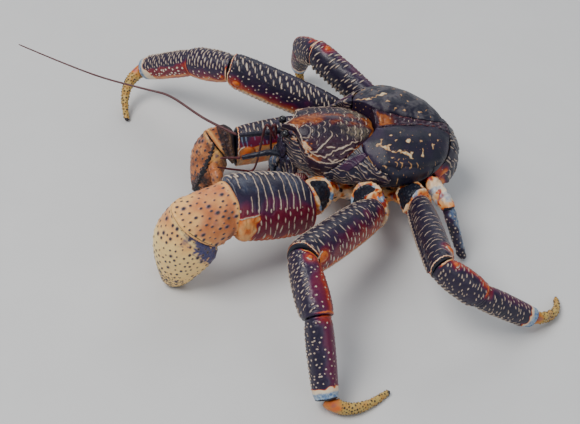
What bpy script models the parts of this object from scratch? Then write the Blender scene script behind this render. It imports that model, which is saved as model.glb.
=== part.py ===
"""Coconut crab (Birgus latro), a large land hermit crab, standing on its leg tips and claw tips.

Sizes are in millimetres and are scaled to metres as each mesh is made.  The animal faces -X, its left
side faces -Y, and the ground is Z = 0.  "left" and "right" in the node names are the animal's own.
"""
import math

import bmesh
import bpy
from mathutils import Matrix, Vector

MM = 0.001
GAP = 0.3                       # clearance between neighbouring pieces

# ---- the trunk stands on the legs turned, rolled to its left and with its head up
TRUNK_PLACE = (-2.1, 5.6, 60.0)
TRUNK_TURN = tuple(math.radians(v) for v in (7.0, 5.0, 20.0))

# ---- driving dimensions of the trunk, in its own frame: X to the rear, Z up from the widest line
FRONT_X = -85.0                 # front of the trunk, under the shield's beak
REAR_X = 38.0
TRUNK_RINGS = 16
TRUNK_SIDES = 24
# stations: place along X, half width, height of the widest line, crown of the swollen gill
# chambers, depth of the median furrow between them, height of the belly, roundness of the top
STATIONS = ((-85.0, 4.0, -8.0, 4.0, 0.0, -21.0, 1.0),
            (-81.0, 12.5, -8.0, 8.0, 0.0, -28.0, 1.0),
            (-74.0, 21.0, -9.0, 13.0, 0.0, -31.0, 1.0),
            (-60.0, 30.0, -12.0, 15.0, 0.0, -34.0, 1.0),
            (-46.0, 35.0, -11.0, 14.5, 0.0, -36.0, 0.95),
            (-34.0, 41.0, -7.0, 14.0, 2.5, -36.0, 0.75),
            (-22.0, 45.5, -4.0, 17.5, 10.0, -35.0, 0.58),
            (-8.0, 47.0, -4.0, 20.0, 12.0, -34.0, 0.5),
            (4.0, 45.5, -5.0, 18.0, 10.0, -32.0, 0.5),
            (16.0, 40.0, -5.0, 14.0, 6.5, -28.0, 0.5),
            (27.0, 32.0, -5.0, 9.0, 3.5, -23.0, 0.5),
            (35.0, 22.0, -5.0, 4.0, 1.0, -17.0, 0.5),
            (38.0, 12.0, -5.0, 1.0, 0.0, -12.0, 0.5))
FURROW_WIDTH = 9.0
FLANK_FULLNESS = 2.4            # how steeply the flanks stand below the widest line
# the front shield: place along X and height of its midline, which falls away evenly to both sides
SHIELD_MIDLINE = ((-90.0, 8.0), (-82.0, 10.5), (-72.0, 13.5), (-54.0, 15.5), (-40.0, 13.8), (-30.0, 11.0),
                  (-19.0, 5.0), (-10.0, -3.0))
SHIELD_ENDS = (-90.0, -13.0)
SHIELD_FALL = 0.0235            # of the height, by the square of the distance from the midline
SHIELD_THICKNESS = 8.0
SHIELD_STEP = 6.5               # between the points across it

# ---- outlines that part the trunk into plates, in plan: half of each, mirrored
SHIELD_OUTLINE = ((-88.0, 0.0), (-80.0, 3.5), (-76.0, 12.0), (-74.0, 19.5), (-70.0, 26.0), (-60.0, 29.5),
                  (-50.0, 29.5), (-40.0, 26.0), (-32.0, 21.5), (-25.5, 17.0), (-20.5, 10.5), (-18.5, 3.5))
CARDIAC_OUTLINE = ((-25.0, 11.0), (-17.0, 9.5), (-8.0, 6.5), (3.0, 4.5), (15.0, 3.0), (27.0, 3.0),
                   (44.0, 7.0))
CHAMBER_OUTLINE = ((-32.0, 18.0), (-31.0, 28.0), (-24.5, 39.0), (-14.0, 45.5), (-2.0, 51.0), (20.0, 56.0),
                   (60.0, 56.0))
UNDERSIDE_Z = -22.0
CUTTER_BOTTOM = -90.0
CUTTER_TOP = 60.0

# ---- pleon (abdomen), folded down and forward behind the thorax
PLEON_PIVOT = (14.0, -25.0)     # X and Z of the axis that its plates fan around
PLEON_RADIUS = 36.0
PLEON_DROP = 31.0               # radius towards the ground
PLEON_HALF_WIDTH = 30.0
PLEON_FROM = 50.0               # angles up from +X, of the first plate's front edge
PLEON_TO = -86.0                # and of the last plate's rear edge
PLATE_THICKNESS = 3.0
PLATE_FLARE = 1.2               # how far each plate's rear edge stands out over the next one
PLATES = 4
PLATE_HALF_STEPS = 4
SOFT_DEPTH = 10.5               # half depth of the soft underside

LIMB_SIDES = 12
PALM_SIDES = 16
TUBE_SIDES = 8
THIN_SIDES = 6
UP = Vector((0, 0, 1))

# ---- limbs: joint centres from the trunk out to the tip, on each animal's side
# guide: where the dactyl's curve heads first; lean: the way its height faces
LEGS = {
    "leg2_left": dict(
        joints=((-19, -31, 32), (-9, -65, 39), (-42, -146, 63), (-25, -182, 49),
                (-12.5, -215, 9.5), (25, -193, 1.6)),
        guide=(6, -224, 3), lean=(0, 0, 1), girth=1.0),
    "leg2_right": dict(
        joints=((-36, 27, 40), (-54, 45, 37), (-138, 49, 64), (-173, 63, 55),
                (-221, 84, 27), (-226.5, 46, 1.6)),
        guide=(-241, 72, 20), lean=(-1, 0, 0.4), girth=0.96),
    "leg3_left": dict(
        joints=((10, -30, 36), (23, -51, 39), (48, -131, 60), (74, -130, 39),
                (111, -115, 9.5), (126, -84, 1.4)),
        guide=(132, -106, 4), lean=(0, 0, 1), girth=0.82),
    "leg3_right": dict(
        joints=((-13, 38, 44), (-26, 58, 40), (-79.5, 91, 58), (-95, 110, 47),
                (-101, 126, 18), (-93, 112, 1.4)),
        guide=(-103, 132, 4), lean=(1, 0, 0), girth=0.82),
}
# half height and half thickness of each length of a walking leg, for girth 1
LEG_SECTIONS = dict(base=(15.5, 13.0), merus=(16.5, 12.5), carpus=(14.0, 12.0),
                    propodus=(11.5, 9.8), dactyl=(6.0, 5.0))

CHELIPED_BASE = (13.5, 12.5)
WRIST_GAP = 1.0
WRIST_REACH = 26.0              # how far the carpus runs on before the slanting wrist cuts it
CHELIPEDS = {
    "cheliped_left": dict(
        joints=((-45, -31, 32), (-57, -65, 40), (-101, -103, 60), (-121, -119, 57)),
        merus=(24.5, 15.0), lean=(-0.25, 0.62, 0.74),
        # stations down the palm: centre, half width, half thickness, direction of the width
        palm=(((-122.5, -120.5, 57.5), 20.5, 14.0, (-0.71, 0.0, 0.71)),
              ((-129.0, -122.0, 46.0), 23.5, 16.0, (-0.90, 0.0, 0.42)),
              ((-130.5, -123.0, 34.0), 23.5, 15.0, (-1.0, 0.0, 0.10)),
              ((-134.0, -124.0, 17.0), 16.5, 11.0, (-1.0, 0.0, -0.10)),
              ((-137.0, -124.5, 6.5), 11.0, 8.0, (-1.0, 0.0, -0.15)),
              ((-138.5, -124.0, 0.8), 5.5, 4.5, (-1.0, 0.0, -0.15))),
        finger=((-147.0, -103.0, 40.0), (-153.0, -101.0, 22.0), (-146.0, -108.0, 1.6)),
        finger_half=(8.5, 6.0), carpus=(21.0, 15.0)),
    "cheliped_right": dict(
        joints=((-57, 11, 40), (-74, 19, 36), (-124.5, -5, 32), (-135, -9.5, 36)),
        merus=(17.0, 11.5), lean=(0.05, 0.25, 0.97),
        palm=(((-136.5, -9.5, 37.5), 13.0, 10.5, (-0.55, 0.0, 0.83)),
              ((-141.5, -13.5, 28.0), 15.5, 11.0, (-0.88, 0.0, 0.45)),
              ((-142.5, -18.0, 18.0), 13.0, 10.0, (-1.0, 0.0, 0.12)),
              ((-145.0, -23.0, 8.5), 9.0, 7.5, (-1.0, 0.0, 0.0)),
              ((-147.0, -26.0, 0.8), 4.0, 4.0, (-1.0, 0.0, 0.0))),
        finger=((-131.0, -30.0, 26.0), (-131.0, -36.0, 14.0), (-140.0, -38.0, 1.6)),
        finger_half=(5.5, 4.5), carpus=(15.5, 11.5)),
}

REAR_LEG_SECTIONS = dict(upper=(7.5, 6.5), lower=(5.8, 5.0))
REAR_LEGS = {
    "leg4_left": ((27, -25, 43), (35, -36, 43), (43, -45, 36), (55, -57, 9), (59, -57, 1.4)),
    "leg4_right": ((5, 45, 41), (9, 56, 42), (11, 60, 34), (13, 66, 9), (17, 68, 1.4)),
}

# ---- head, in the trunk's frame
EYE_PLACE = (-85.5, 7.4, 6.0)
EYE_RADIUS = 3.1
EYESTALK_ROOT = (-77.0, 3.6, 2.5)
FACE_PLACE = (-84.0, 0.0, -14.0)
FACE_HALF = (5.0, 9.5, 11.0)
EYESTALK_HALF = (2.6, 2.6)

# ---- feelers and mouthparts: half thicknesses, and points from root to tip
FEELER_SECTIONS = dict(antennule=(1.5, 1.3), antenna=(3.0, 2.6), flagellum=(1.3, 1.3), maxilliped=(4.6, 3.4))
ANTENNULES = {
    "left": ((-87, -27, 63), (-92, -27, 75), (-95.5, -27, 70), (-103.5, -24, 30.5), (-112, -29, 31),
             (-128, -42, 42)),
    "right": ((-88, -21, 62), (-88, -22, 72), (-91.5, -21.5, 67), (-93, -19, 30), (-98, -26, 26),
              (-113, -34, 27)),
}
ANTENNAE = {
    "left": ((-82, -36, 57), (-89, -38, 59.5), (-108.5, -44, 55.7)),
    "right": ((-84, -11, 60), (-94, -15, 59), (-115.6, -23.6, 59.5)),
}
FLAGELLA = {
    "left": ((-109, -44.2, 55.8), (-120, -48, 57), (-123, -49, 57.2)),
    "right": ((-116.4, -23.6, 59.7), (-143.5, -16.2, 65.1), (-170.6, -6.2, 73.2), (-190, -3.2, 74.6),
              (-226, 1.8, 76.4), (-261, 8.9, 80.6), (-297, 17, 86)),
}
FLAGELLUM_STEPS = {"left": 14, "right": 24}
MAXILLIPEDS = {
    "left": ((-87, -31.5, 49), (-89, -31, 43), (-85, -27, 25)),
    "right": ((-88, -14, 45), (-90, -13, 38), (-85, -9, 21)),
}

# ---- paints: base colour, roughness
FINISHES = {
    "shell_dark": ((0.035, 0.033, 0.055), 0.35),
    "shell_brown": ((0.16, 0.07, 0.045), 0.40),
    "limb_dark": ((0.060, 0.035, 0.060), 0.42),
    "claw_orange": ((0.62, 0.34, 0.17), 0.45),
    "dactyl_ochre": ((0.46, 0.29, 0.10), 0.50),
    "joint_cream": ((0.62, 0.47, 0.33), 0.45),
    "feeler_red": ((0.13, 0.015, 0.020), 0.40),
    "soft_skin": ((0.30, 0.17, 0.09), 0.60),
    "eye_black": ((0.008, 0.008, 0.010), 0.12),
}


def finish(name):
    material = bpy.data.materials.get(name)
    if material is None:
        colour, roughness = FINISHES[name]
        material = bpy.data.materials.new(name)
        material.use_nodes = True
        shader = material.node_tree.nodes["Principled BSDF"]
        shader.inputs["Base Color"].default_value = (*colour, 1.0)
        shader.inputs["Roughness"].default_value = roughness
        shader.inputs["Metallic"].default_value = 0.0
    return material


def add_object(name, mesh_builder, group, paint=None):
    """Turns a bmesh in millimetres into an object of that name, in metres."""
    bmesh.ops.recalc_face_normals(mesh_builder, faces=mesh_builder.faces)
    bmesh.ops.scale(mesh_builder, vec=(MM, MM, MM), verts=mesh_builder.verts)
    mesh = bpy.data.meshes.new(name)
    mesh_builder.to_mesh(mesh)
    mesh_builder.free()
    mesh.shade_smooth()
    obj = bpy.data.objects.new(name, mesh)
    group.objects.link(obj)
    if paint:
        mesh.materials.append(finish(paint))
    return obj


def cut(obj, cutter, operation="DIFFERENCE"):
    modifier = obj.modifiers.new(f"{operation.lower()} {cutter.name}", "BOOLEAN")
    modifier.object = cutter
    modifier.operation = operation
    modifier.solver = "EXACT"


def as_cutter(obj):
    obj.hide_render = True
    obj.display_type = "WIRE"
    return obj


def smoothstep(low, high, value):
    t = min(1.0, max(0.0, (value - low) / (high - low)))
    return t * t * (3.0 - 2.0 * t)


def bridge(builder, rings):
    """Skins a list of equal rings of vertices and closes both ends."""
    count = len(rings[0])
    for ring, following in zip(rings, rings[1:]):
        for i in range(count):
            j = (i + 1) % count
            builder.faces.new((ring[i], ring[j], following[j], following[i]))
    builder.faces.new(reversed(rings[0]))
    builder.faces.new(rings[-1])


# ------------------------------------------------------------------ trunk

def between(table, x):
    """The values of a table of stations at x, eased from one station to the next."""
    ghost = (table[0],) + tuple(table) + (table[-1],)
    for before, low, high, after in zip(ghost, ghost[1:], ghost[2:], ghost[3:]):
        if x <= high[0] or high is table[-1]:
            break
    u = min(1.0, max(0.0, (x - low[0]) / (high[0] - low[0])))
    values = []
    for a, b, c, d in zip(before[1:], low[1:], high[1:], after[1:]):
        values.append(0.5 * (2 * b + (c - a) * u + (2 * a - 5 * b + 4 * c - d) * u * u
                             + (3 * b - a - 3 * c + d) * u ** 3))
    return values


def trunk_ring(x, grow):
    """One ring of the trunk, square to its length at x, as points in millimetres."""
    half_width, edge, crown, furrow, belly, roundness = between(STATIONS, x)
    half_width += grow
    points = []
    for i in range(TRUNK_SIDES):
        angle = math.tau * i / TRUNK_SIDES
        y, lift = half_width * math.sin(angle), math.cos(angle)
        if lift >= 0:
            z = edge + (crown + grow - edge) * lift ** (2.0 * roundness)
            z -= furrow * math.exp(-(y / FURROW_WIDTH) ** 2)
        else:
            y = math.copysign(half_width * (1.0 - (-lift) ** FLANK_FULLNESS) ** 0.85, y)
            z = edge + (edge - belly + grow) * lift
        points.append((y, z))
    return points


def shield_ring(x, grow):
    """The same for the front shield, an arched plate; a grown one also reaches up past the trunk."""
    (top,) = between(SHIELD_MIDLINE, x)
    places = [SHIELD_STEP * i for i in range(-6, 7)]
    lower = [(y, top - SHIELD_FALL * y * y - SHIELD_THICKNESS - grow) for y in places]
    if grow:
        reach = places[-1]
        return lower + [(reach, CUTTER_TOP), (-reach, CUTTER_TOP)]
    return lower + [(y, top - SHIELD_FALL * y * y) for y in reversed(places)]


def trunk_blank(grow=0.0, ring=trunk_ring, ends=(FRONT_X, REAR_X)):
    """The whole trunk, before it is parted; grow swells it, to leave room round it."""
    builder = bmesh.new()
    rings = []
    for n in range(TRUNK_RINGS):
        t = 0.5 - 0.5 * math.cos(math.pi * n / (TRUNK_RINGS - 1))
        x = ends[0] - grow + (ends[1] - ends[0] + 2 * grow) * t
        rings.append([builder.verts.new((x, y, z)) for y, z in ring(x, grow)])
    bridge(builder, rings)
    bmesh.ops.triangulate(builder, faces=builder.faces)     # flat faces cut cleanly
    return builder


def eased(outline, steps=2):
    """A smoother outline through the same points."""
    ghost = (outline[0],) + tuple(outline) + (outline[-1],)
    points = []
    for a, b, c, d in zip(ghost, ghost[1:], ghost[2:], ghost[3:]):
        for k in range(steps):
            u = k / steps
            points.append(tuple(0.5 * (2 * q + (r - p) * u + (2 * p - 5 * q + 4 * r - w) * u * u
                                       + (3 * q - p - 3 * r + w) * u ** 3) for p, q, r, w in zip(a, b, c, d)))
    return points + [outline[-1]]


def prism(name, group, outline, offset=0.0):
    """An upright cutter on an outline in plan, swollen by the offset."""
    builder = bmesh.new()
    count = len(outline)
    corners = []
    for i, (x, y) in enumerate(outline):
        before, after = Vector(outline[i - 1]), Vector(outline[(i + 1) % count])
        way = (after - before).normalized()
        corners.append(builder.verts.new((x - way.y * offset, y + way.x * offset, CUTTER_BOTTOM)))
    return as_cutter(raise_outline(name, builder, corners, group))


def mirrored(half):
    """Half an outline joined to its mirror image, clockwise from its front."""
    return list(half) + [(x, -y) for x, y in reversed(half) if abs(y) > 1e-6]


def raise_outline(name, builder, corners, group):
    floor = builder.faces.new(corners)
    raised = bmesh.ops.extrude_face_region(builder, geom=[floor])["geom"]
    bmesh.ops.translate(builder, vec=(0, 0, CUTTER_TOP - CUTTER_BOTTOM),
                        verts=[v for v in raised if isinstance(v, bmesh.types.BMVert)])
    return add_object(name, builder, group)


def half_space(name, group, point, normal):
    """A large block that fills everything on the normal's side of a plane."""
    size = 400.0
    builder = bmesh.new()
    bmesh.ops.create_cube(builder, size=size)
    turn = Vector(normal).to_track_quat("Z", "Y").to_matrix().to_4x4()
    centre = Vector(point) + Vector(normal).normalized() * size / 2
    bmesh.ops.transform(builder, matrix=Matrix.Translation(centre) @ turn, verts=builder.verts)
    return as_cutter(add_object(name, builder, group))


def build_trunk(parts, cutters):
    outline = mirrored(eased(SHIELD_OUTLINE))
    shield = prism("cut_shield", cutters, outline)
    round_shield = prism("cut_round_shield", cutters, outline, GAP)
    over_shield = as_cutter(add_object("cut_over_shield", trunk_blank(GAP, shield_ring, SHIELD_ENDS),
                                       cutters))
    cut(over_shield, round_shield, "INTERSECT")
    middle = mirrored(CARDIAC_OUTLINE)
    cardiac = prism("cut_cardiac", cutters, middle)
    round_cardiac = prism("cut_round_cardiac", cutters, middle, GAP)
    below = half_space("cut_below", cutters, (0, 0, UNDERSIDE_Z), (0, 0, -1))
    above = half_space("cut_above", cutters, (0, 0, UNDERSIDE_Z - GAP), (0, 0, 1))

    plate = add_object("carapace_shield", trunk_blank(0.0, shield_ring, SHIELD_ENDS), parts, "shell_brown")
    cut(plate, shield, "INTERSECT")
    plates = {"carapace_cardiac": ("shell_brown", [(below, "DIFFERENCE"), (cardiac, "INTERSECT"),
                                                   (round_shield, "DIFFERENCE")]),
              "thorax_underside": ("joint_cream", [(above, "DIFFERENCE")])}
    for side, sign in (("left", -1), ("right", 1)):
        half = eased(CHAMBER_OUTLINE) + [(60.0, GAP / 2), (-34.0, GAP / 2)]
        half = [(x, sign * y) for x, y in half]
        if sign < 0:
            half = half[::-1]
        chamber = prism(f"cut_chamber_{side}", cutters, half)
        round_chamber = prism(f"cut_round_chamber_{side}", cutters, half, GAP)
        other_half = half_space(f"cut_off_{side}", cutters, (0, sign * GAP / 2, 0), (0, -sign, 0))
        plates[f"carapace_branchial_{side}"] = ("shell_dark", [
            (below, "DIFFERENCE"), (chamber, "INTERSECT"), (round_cardiac, "DIFFERENCE"),
            (round_shield, "DIFFERENCE")])
        plates[f"carapace_flank_{side}"] = ("shell_dark", [
            (other_half, "DIFFERENCE"), (below, "DIFFERENCE"), (round_chamber, "DIFFERENCE"),
            (round_cardiac, "DIFFERENCE"), (over_shield, "DIFFERENCE")])
    for name, (paint, cuts) in plates.items():
        plate = add_object(name, trunk_blank(), parts, paint)
        for cutter, operation in cuts:
            cut(plate, cutter, operation)


# ------------------------------------------------------------------ pleon

def pleon_point(angle, across, inset):
    """A point on the pleon's surface: angle up from +X about the pivot, across from -1 to 1."""
    drop = smoothstep(0.0, -80.0, angle)
    radius = PLEON_RADIUS + (PLEON_DROP - PLEON_RADIUS) * drop - inset
    turn = math.radians(angle)
    bulge = math.sqrt(max(0.0, 1.0 - (abs(across) * 0.93) ** 2.4))
    x = PLEON_PIVOT[0] + radius * math.cos(turn) * bulge
    z = PLEON_PIVOT[1] + radius * math.sin(turn) * bulge
    return (x, (PLEON_HALF_WIDTH - inset) * across, z)


def build_pleon(parts, room):
    span = (PLEON_FROM - PLEON_TO) / PLATES
    turn_of_gap = math.degrees(GAP / PLEON_RADIUS)
    for n in range(PLATES):
        first = PLEON_FROM - n * span
        last = first - span + turn_of_gap
        builder = bmesh.new()
        rows = []
        for i in range(4):
            angle = first + (last - first) * i / 3
            flare = PLATE_FLARE * (1.0 - i / 3)
            outer, inner = [[builder.verts.new(pleon_point(angle, j / PLATE_HALF_STEPS, inset))
                             for j in range(-PLATE_HALF_STEPS, PLATE_HALF_STEPS + 1)]
                            for inset in (flare, flare + PLATE_THICKNESS)]
            rows.append(outer + inner[::-1])
        bridge(builder, rows)
        plate = add_object(f"pleon_tergite_{n + 1}", builder, parts, "shell_dark")
        cut(plate, room)
    builder = bmesh.new()
    rings = []
    for i in range(9):
        angle = PLEON_FROM + 20.0 - (PLEON_FROM - PLEON_TO + 54.0) * i / 8
        size = math.sin(math.pi * (0.16 + 0.68 * i / 8)) ** 0.35
        ring = []
        for k in range(16):
            around = math.tau * k / 16
            across = 0.84 * math.cos(around) * size
            inset = PLATE_THICKNESS + PLATE_FLARE + GAP + SOFT_DEPTH * (1.0 - math.sin(around) * size)
            ring.append(builder.verts.new(pleon_point(angle, across, inset)))
        rings.append(ring)
    bridge(builder, rings)
    belly = add_object("pleon_soft", builder, parts, "soft_skin")
    cut(belly, room)


# ------------------------------------------------------------------ limbs

def cross_axes(direction, lean=UP):
    """Height and thickness directions square to a limb's axis."""
    height = (Vector(lean) - Vector(lean).dot(direction) * direction).normalized()
    return height, direction.cross(height)


def segment(name, ends, planes, halves, profile, group, paint, lean=UP, ground=0.0):
    """One length of a limb between two joints, ending on the two given planes' directions.

    halves is the greatest half height and half thickness; profile gives pairs of (fraction along,
    share of that size).
    """
    start, end = Vector(ends[0]), Vector(ends[1])
    axis = (end - start).normalized()
    length = (end - start).length
    height, thickness = cross_axes(axis, lean)
    builder = bmesh.new()
    rings = []
    for fraction, share in profile:
        ring = []
        for i in range(LIMB_SIDES):
            angle = math.tau * i / LIMB_SIDES
            spoke = (height * halves[0] * math.cos(angle) + thickness * halves[1] * math.sin(angle)) * share
            near = GAP / 2 - spoke.dot(planes[0]) / axis.dot(planes[0])
            far = length - GAP / 2 - spoke.dot(planes[1]) / axis.dot(planes[1])
            point = start + spoke + axis * (near + (far - near) * fraction)
            if ground is not None:
                point.z = max(point.z, ground)
            ring.append(builder.verts.new(point))
        rings.append(ring)
    bridge(builder, rings)
    return add_object(name, builder, group, paint)


def mitre(before, after):
    return (before.normalized() + after.normalized()).normalized()


def limb_planes(joints):
    """The plane at each joint, square to the mean of the two lengths that meet there."""
    steps = [Vector(b) - Vector(a) for a, b in zip(joints, joints[1:])]
    planes = [steps[0].normalized()]
    planes += [mitre(a, b) for a, b in zip(steps, steps[1:])]
    return planes + [steps[-1].normalized()]


def smooth_run(points, steps):
    """Centres and headings along the smooth curve through the points."""
    centres = [Vector(p) for p in points]
    ghost = [2 * centres[0] - centres[1]] + centres + [2 * centres[-1] - centres[-2]]
    for n in range(steps + 1):
        place = n / steps * (len(centres) - 1)
        k = min(int(place), len(centres) - 2)
        u = place - k
        a, b, c, d = ghost[k:k + 4]
        centre = 0.5 * (2 * b + (c - a) * u + (2 * a - 5 * b + 4 * c - d) * u * u
                        + (3 * b - a - 3 * c + d) * u ** 3)
        heading = 0.5 * ((c - a) + 2 * (2 * a - 5 * b + 4 * c - d) * u
                         + 3 * (3 * b - a - 3 * c + d) * u * u)
        yield centre, heading.normalized()


def hooked_run(start, guide, tip, steps):
    """Centres and headings along an arc that leaves the start towards the guide and ends at the tip."""
    for n in range(steps + 1):
        u = n / steps
        centre = start * (1 - u) ** 2 + guide * 2 * u * (1 - u) + tip * u * u
        heading = (guide - start) * (1 - u) + (tip - guide) * u
        yield centre, heading.normalized()


def tube(name, run, halves, shares, group, paint, lean=UP, sides=TUBE_SIDES):
    """A curved, tapering piece along a run of centres and headings."""
    builder = bmesh.new()
    rings = []
    run = list(run)
    for n, (centre, heading) in enumerate(run):
        height, thickness = cross_axes(heading, lean)
        share = shares[0] + (shares[1] - shares[0]) * n / (len(run) - 1)
        ring = []
        for i in range(sides):
            angle = math.tau * i / sides
            point = centre + (height * halves[0] * math.cos(angle)
                              + thickness * halves[1] * math.sin(angle)) * share
            point.z = max(point.z, 0.0)
            ring.append(builder.verts.new(point))
        rings.append(ring)
    bridge(builder, rings)
    return add_object(name, builder, group, paint)


BASE_PROFILE = ((0.0, 0.70), (0.4, 0.88), (0.85, 1.0), (1.0, 0.90))
MERUS_PROFILE = ((0.0, 0.74), (0.06, 0.86), (0.3, 0.97), (0.6, 1.0), (0.88, 0.98), (0.97, 0.92), (1.0, 0.82))
CARPUS_PROFILE = ((0.0, 0.78), (0.12, 0.90), (0.5, 1.0), (0.85, 0.98), (1.0, 0.86))
WRIST_PROFILE = ((0.0, 0.78), (0.08, 0.92), (0.3, 1.0), (1.0, 0.92))
THIGH_PROFILE = ((0.0, 0.8), (0.3, 0.95), (0.7, 1.0), (1.0, 0.8))
PROPODUS_PROFILE = ((0.0, 0.86), (0.08, 0.98), (0.4, 1.0), (0.8, 0.92), (0.96, 0.86), (1.0, 0.74))


def build_walking_leg(name, spec, parts, cutters, room):
    joints = spec["joints"]
    planes = limb_planes(joints[:5])
    sizes = {key: tuple(v * spec["girth"] for v in halves) for key, halves in LEG_SECTIONS.items()}
    base = segment(f"{name}_base", joints[0:2], planes[0:2], sizes["base"], BASE_PROFILE, parts,
                   "joint_cream")
    cut(base, room)
    merus = segment(f"{name}_merus", joints[1:3], planes[1:3], sizes["merus"], MERUS_PROFILE, parts,
                    "limb_dark")
    cut(merus, room)
    segment(f"{name}_carpus", joints[2:4], planes[2:4], sizes["carpus"], CARPUS_PROFILE, parts, "limb_dark")
    segment(f"{name}_propodus", joints[3:5], planes[3:5], sizes["propodus"], PROPODUS_PROFILE, parts,
            "limb_dark")
    knuckle = Vector(joints[4])
    dactyl = tube(f"{name}_dactyl", hooked_run(knuckle, Vector(spec["guide"]), Vector(joints[5]), 8),
                  sizes["dactyl"], (1.0, 0.34), parts, "dactyl_ochre", lean=spec["lean"])
    cut(dactyl, half_space(f"cut_{name}_knuckle", cutters, knuckle + planes[4] * GAP / 2, -planes[4]))


def build_cheliped(name, spec, parts, cutters, room):
    joints = spec["joints"]
    planes = limb_planes(joints)
    base = segment(f"{name}_ischium", joints[0:2], planes[0:2], CHELIPED_BASE, BASE_PROFILE, parts,
                   "joint_cream")
    cut(base, room)
    merus = segment(f"{name}_merus", joints[1:3], planes[1:3], spec["merus"], MERUS_PROFILE, parts,
                    "limb_dark", lean=spec["lean"])
    cut(merus, room)
    palm_start = Vector(spec["palm"][0][0])
    across = Vector(spec["palm"][0][3])
    palm_way = (Vector(spec["palm"][1][0]) - palm_start).normalized()
    face = palm_way.cross(across).normalized()
    square = across.cross(face).normalized()
    if square.dot(palm_way) < 0:
        square = -square
    wrist = palm_start - square * WRIST_GAP
    way = (wrist - Vector(joints[2])).normalized()
    carpus = segment(f"{name}_carpus", (joints[2], wrist + way * WRIST_REACH), (planes[2], way), spec["carpus"],
                     WRIST_PROFILE, parts, "claw_orange", lean=across)
    cut(carpus, half_space(f"cut_{name}_wrist", cutters, wrist, square))

    builder = bmesh.new()
    rings = []
    for centre, half_width, half_thickness, width_way in spec["palm"]:
        width = Vector(width_way).normalized()
        thickness = (face - face.dot(width) * width).normalized()
        ring = []
        for i in range(PALM_SIDES):
            angle = math.tau * i / PALM_SIDES
            point = (Vector(centre) + width * half_width * math.cos(angle)
                     + thickness * half_thickness * math.sin(angle))
            point.z = max(point.z, 0.0)
            ring.append(builder.verts.new(point))
        rings.append(ring)
    bridge(builder, rings)
    add_object(f"{name}_palm", builder, parts, "claw_orange")
    tube(f"{name}_finger", smooth_run(spec["finger"], 6), spec["finger_half"], (1.0, 0.45), parts,
         "claw_orange", lean=(0, 1, 0))


def build_rear_leg(name, joints, parts, room):
    planes = limb_planes(joints)
    thigh = segment(f"{name}_upper", (joints[0], joints[2]), (planes[0], planes[2]),
                    REAR_LEG_SECTIONS["upper"], THIGH_PROFILE, parts, "joint_cream")
    cut(thigh, room)
    shin = (Vector(joints[2]) + planes[2] * 1.4, joints[3], joints[4])
    tube(f"{name}_lower", smooth_run(shin, 6), REAR_LEG_SECTIONS["lower"], (1.0, 0.4), parts, "limb_dark")


# ------------------------------------------------------------------ head

def build_face(parts, room):
    builder = bmesh.new()
    bmesh.ops.create_uvsphere(builder, u_segments=12, v_segments=8, radius=1.0,
                              matrix=Matrix.Translation(FACE_PLACE) @ Matrix.Diagonal((*FACE_HALF, 1)))
    cut(add_object("head_epistome", builder, parts, "shell_dark"), room)
    for side, sign in (("left", -1), ("right", 1)):
        eye = Vector((EYE_PLACE[0], sign * EYE_PLACE[1], EYE_PLACE[2]))
        root = Vector((EYESTALK_ROOT[0], sign * EYESTALK_ROOT[1], EYESTALK_ROOT[2]))
        way = (eye - root).normalized()
        stalk = segment(f"eyestalk_{side}", (root, eye - way * (EYE_RADIUS + GAP)), (way, way), EYESTALK_HALF,
                        ((0.0, 1.0), (0.6, 0.85), (1.0, 0.95)), parts, "shell_dark", ground=None)
        cut(stalk, room)
        builder = bmesh.new()
        bmesh.ops.create_uvsphere(builder, u_segments=12, v_segments=7, radius=EYE_RADIUS,
                                  matrix=Matrix.Translation(eye))
        add_object(f"eye_{side}", builder, parts, "eye_black")


def build_feelers(parts, room):
    for side in ("left", "right"):
        tube(f"antennule_{side}", smooth_run(ANTENNULES[side], 15), FEELER_SECTIONS["antennule"], (1.0, 0.6),
             parts, "feeler_red", lean=(0, 1, 0), sides=THIN_SIDES)
        stalk = tube(f"antenna_{side}", smooth_run(ANTENNAE[side], 6), FEELER_SECTIONS["antenna"], (1.0, 0.7),
                     parts, "shell_dark")
        cut(stalk, room)
        tube(f"flagellum_{side}", smooth_run(FLAGELLA[side], FLAGELLUM_STEPS[side]), FEELER_SECTIONS["flagellum"],
             (1.0, 0.45), parts, "feeler_red", sides=THIN_SIDES)
        jaw = tube(f"maxilliped_{side}", smooth_run(MAXILLIPEDS[side], 6), FEELER_SECTIONS["maxilliped"],
                   (1.0, 0.55), parts, "shell_dark", lean=(0, 1, 0))
        cut(jaw, room)


def centre_on_floor(root, parts):
    """Shifts the whole animal so that the origin is under the middle of its box, on the floor."""
    bpy.context.view_layer.update()
    depsgraph = bpy.context.evaluated_depsgraph_get()
    corners = []
    for obj in parts.objects:
        if obj.type == "MESH":
            shown = obj.evaluated_get(depsgraph)
            mesh = shown.to_mesh()
            corners += [shown.matrix_world @ v.co for v in mesh.vertices]
            shown.to_mesh_clear()
    low = [min(c[k] for c in corners) for k in range(3)]
    high = [max(c[k] for c in corners) for k in range(3)]
    root.location = (-(low[0] + high[0]) / 2, -(low[1] + high[1]) / 2, -low[2])


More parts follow.
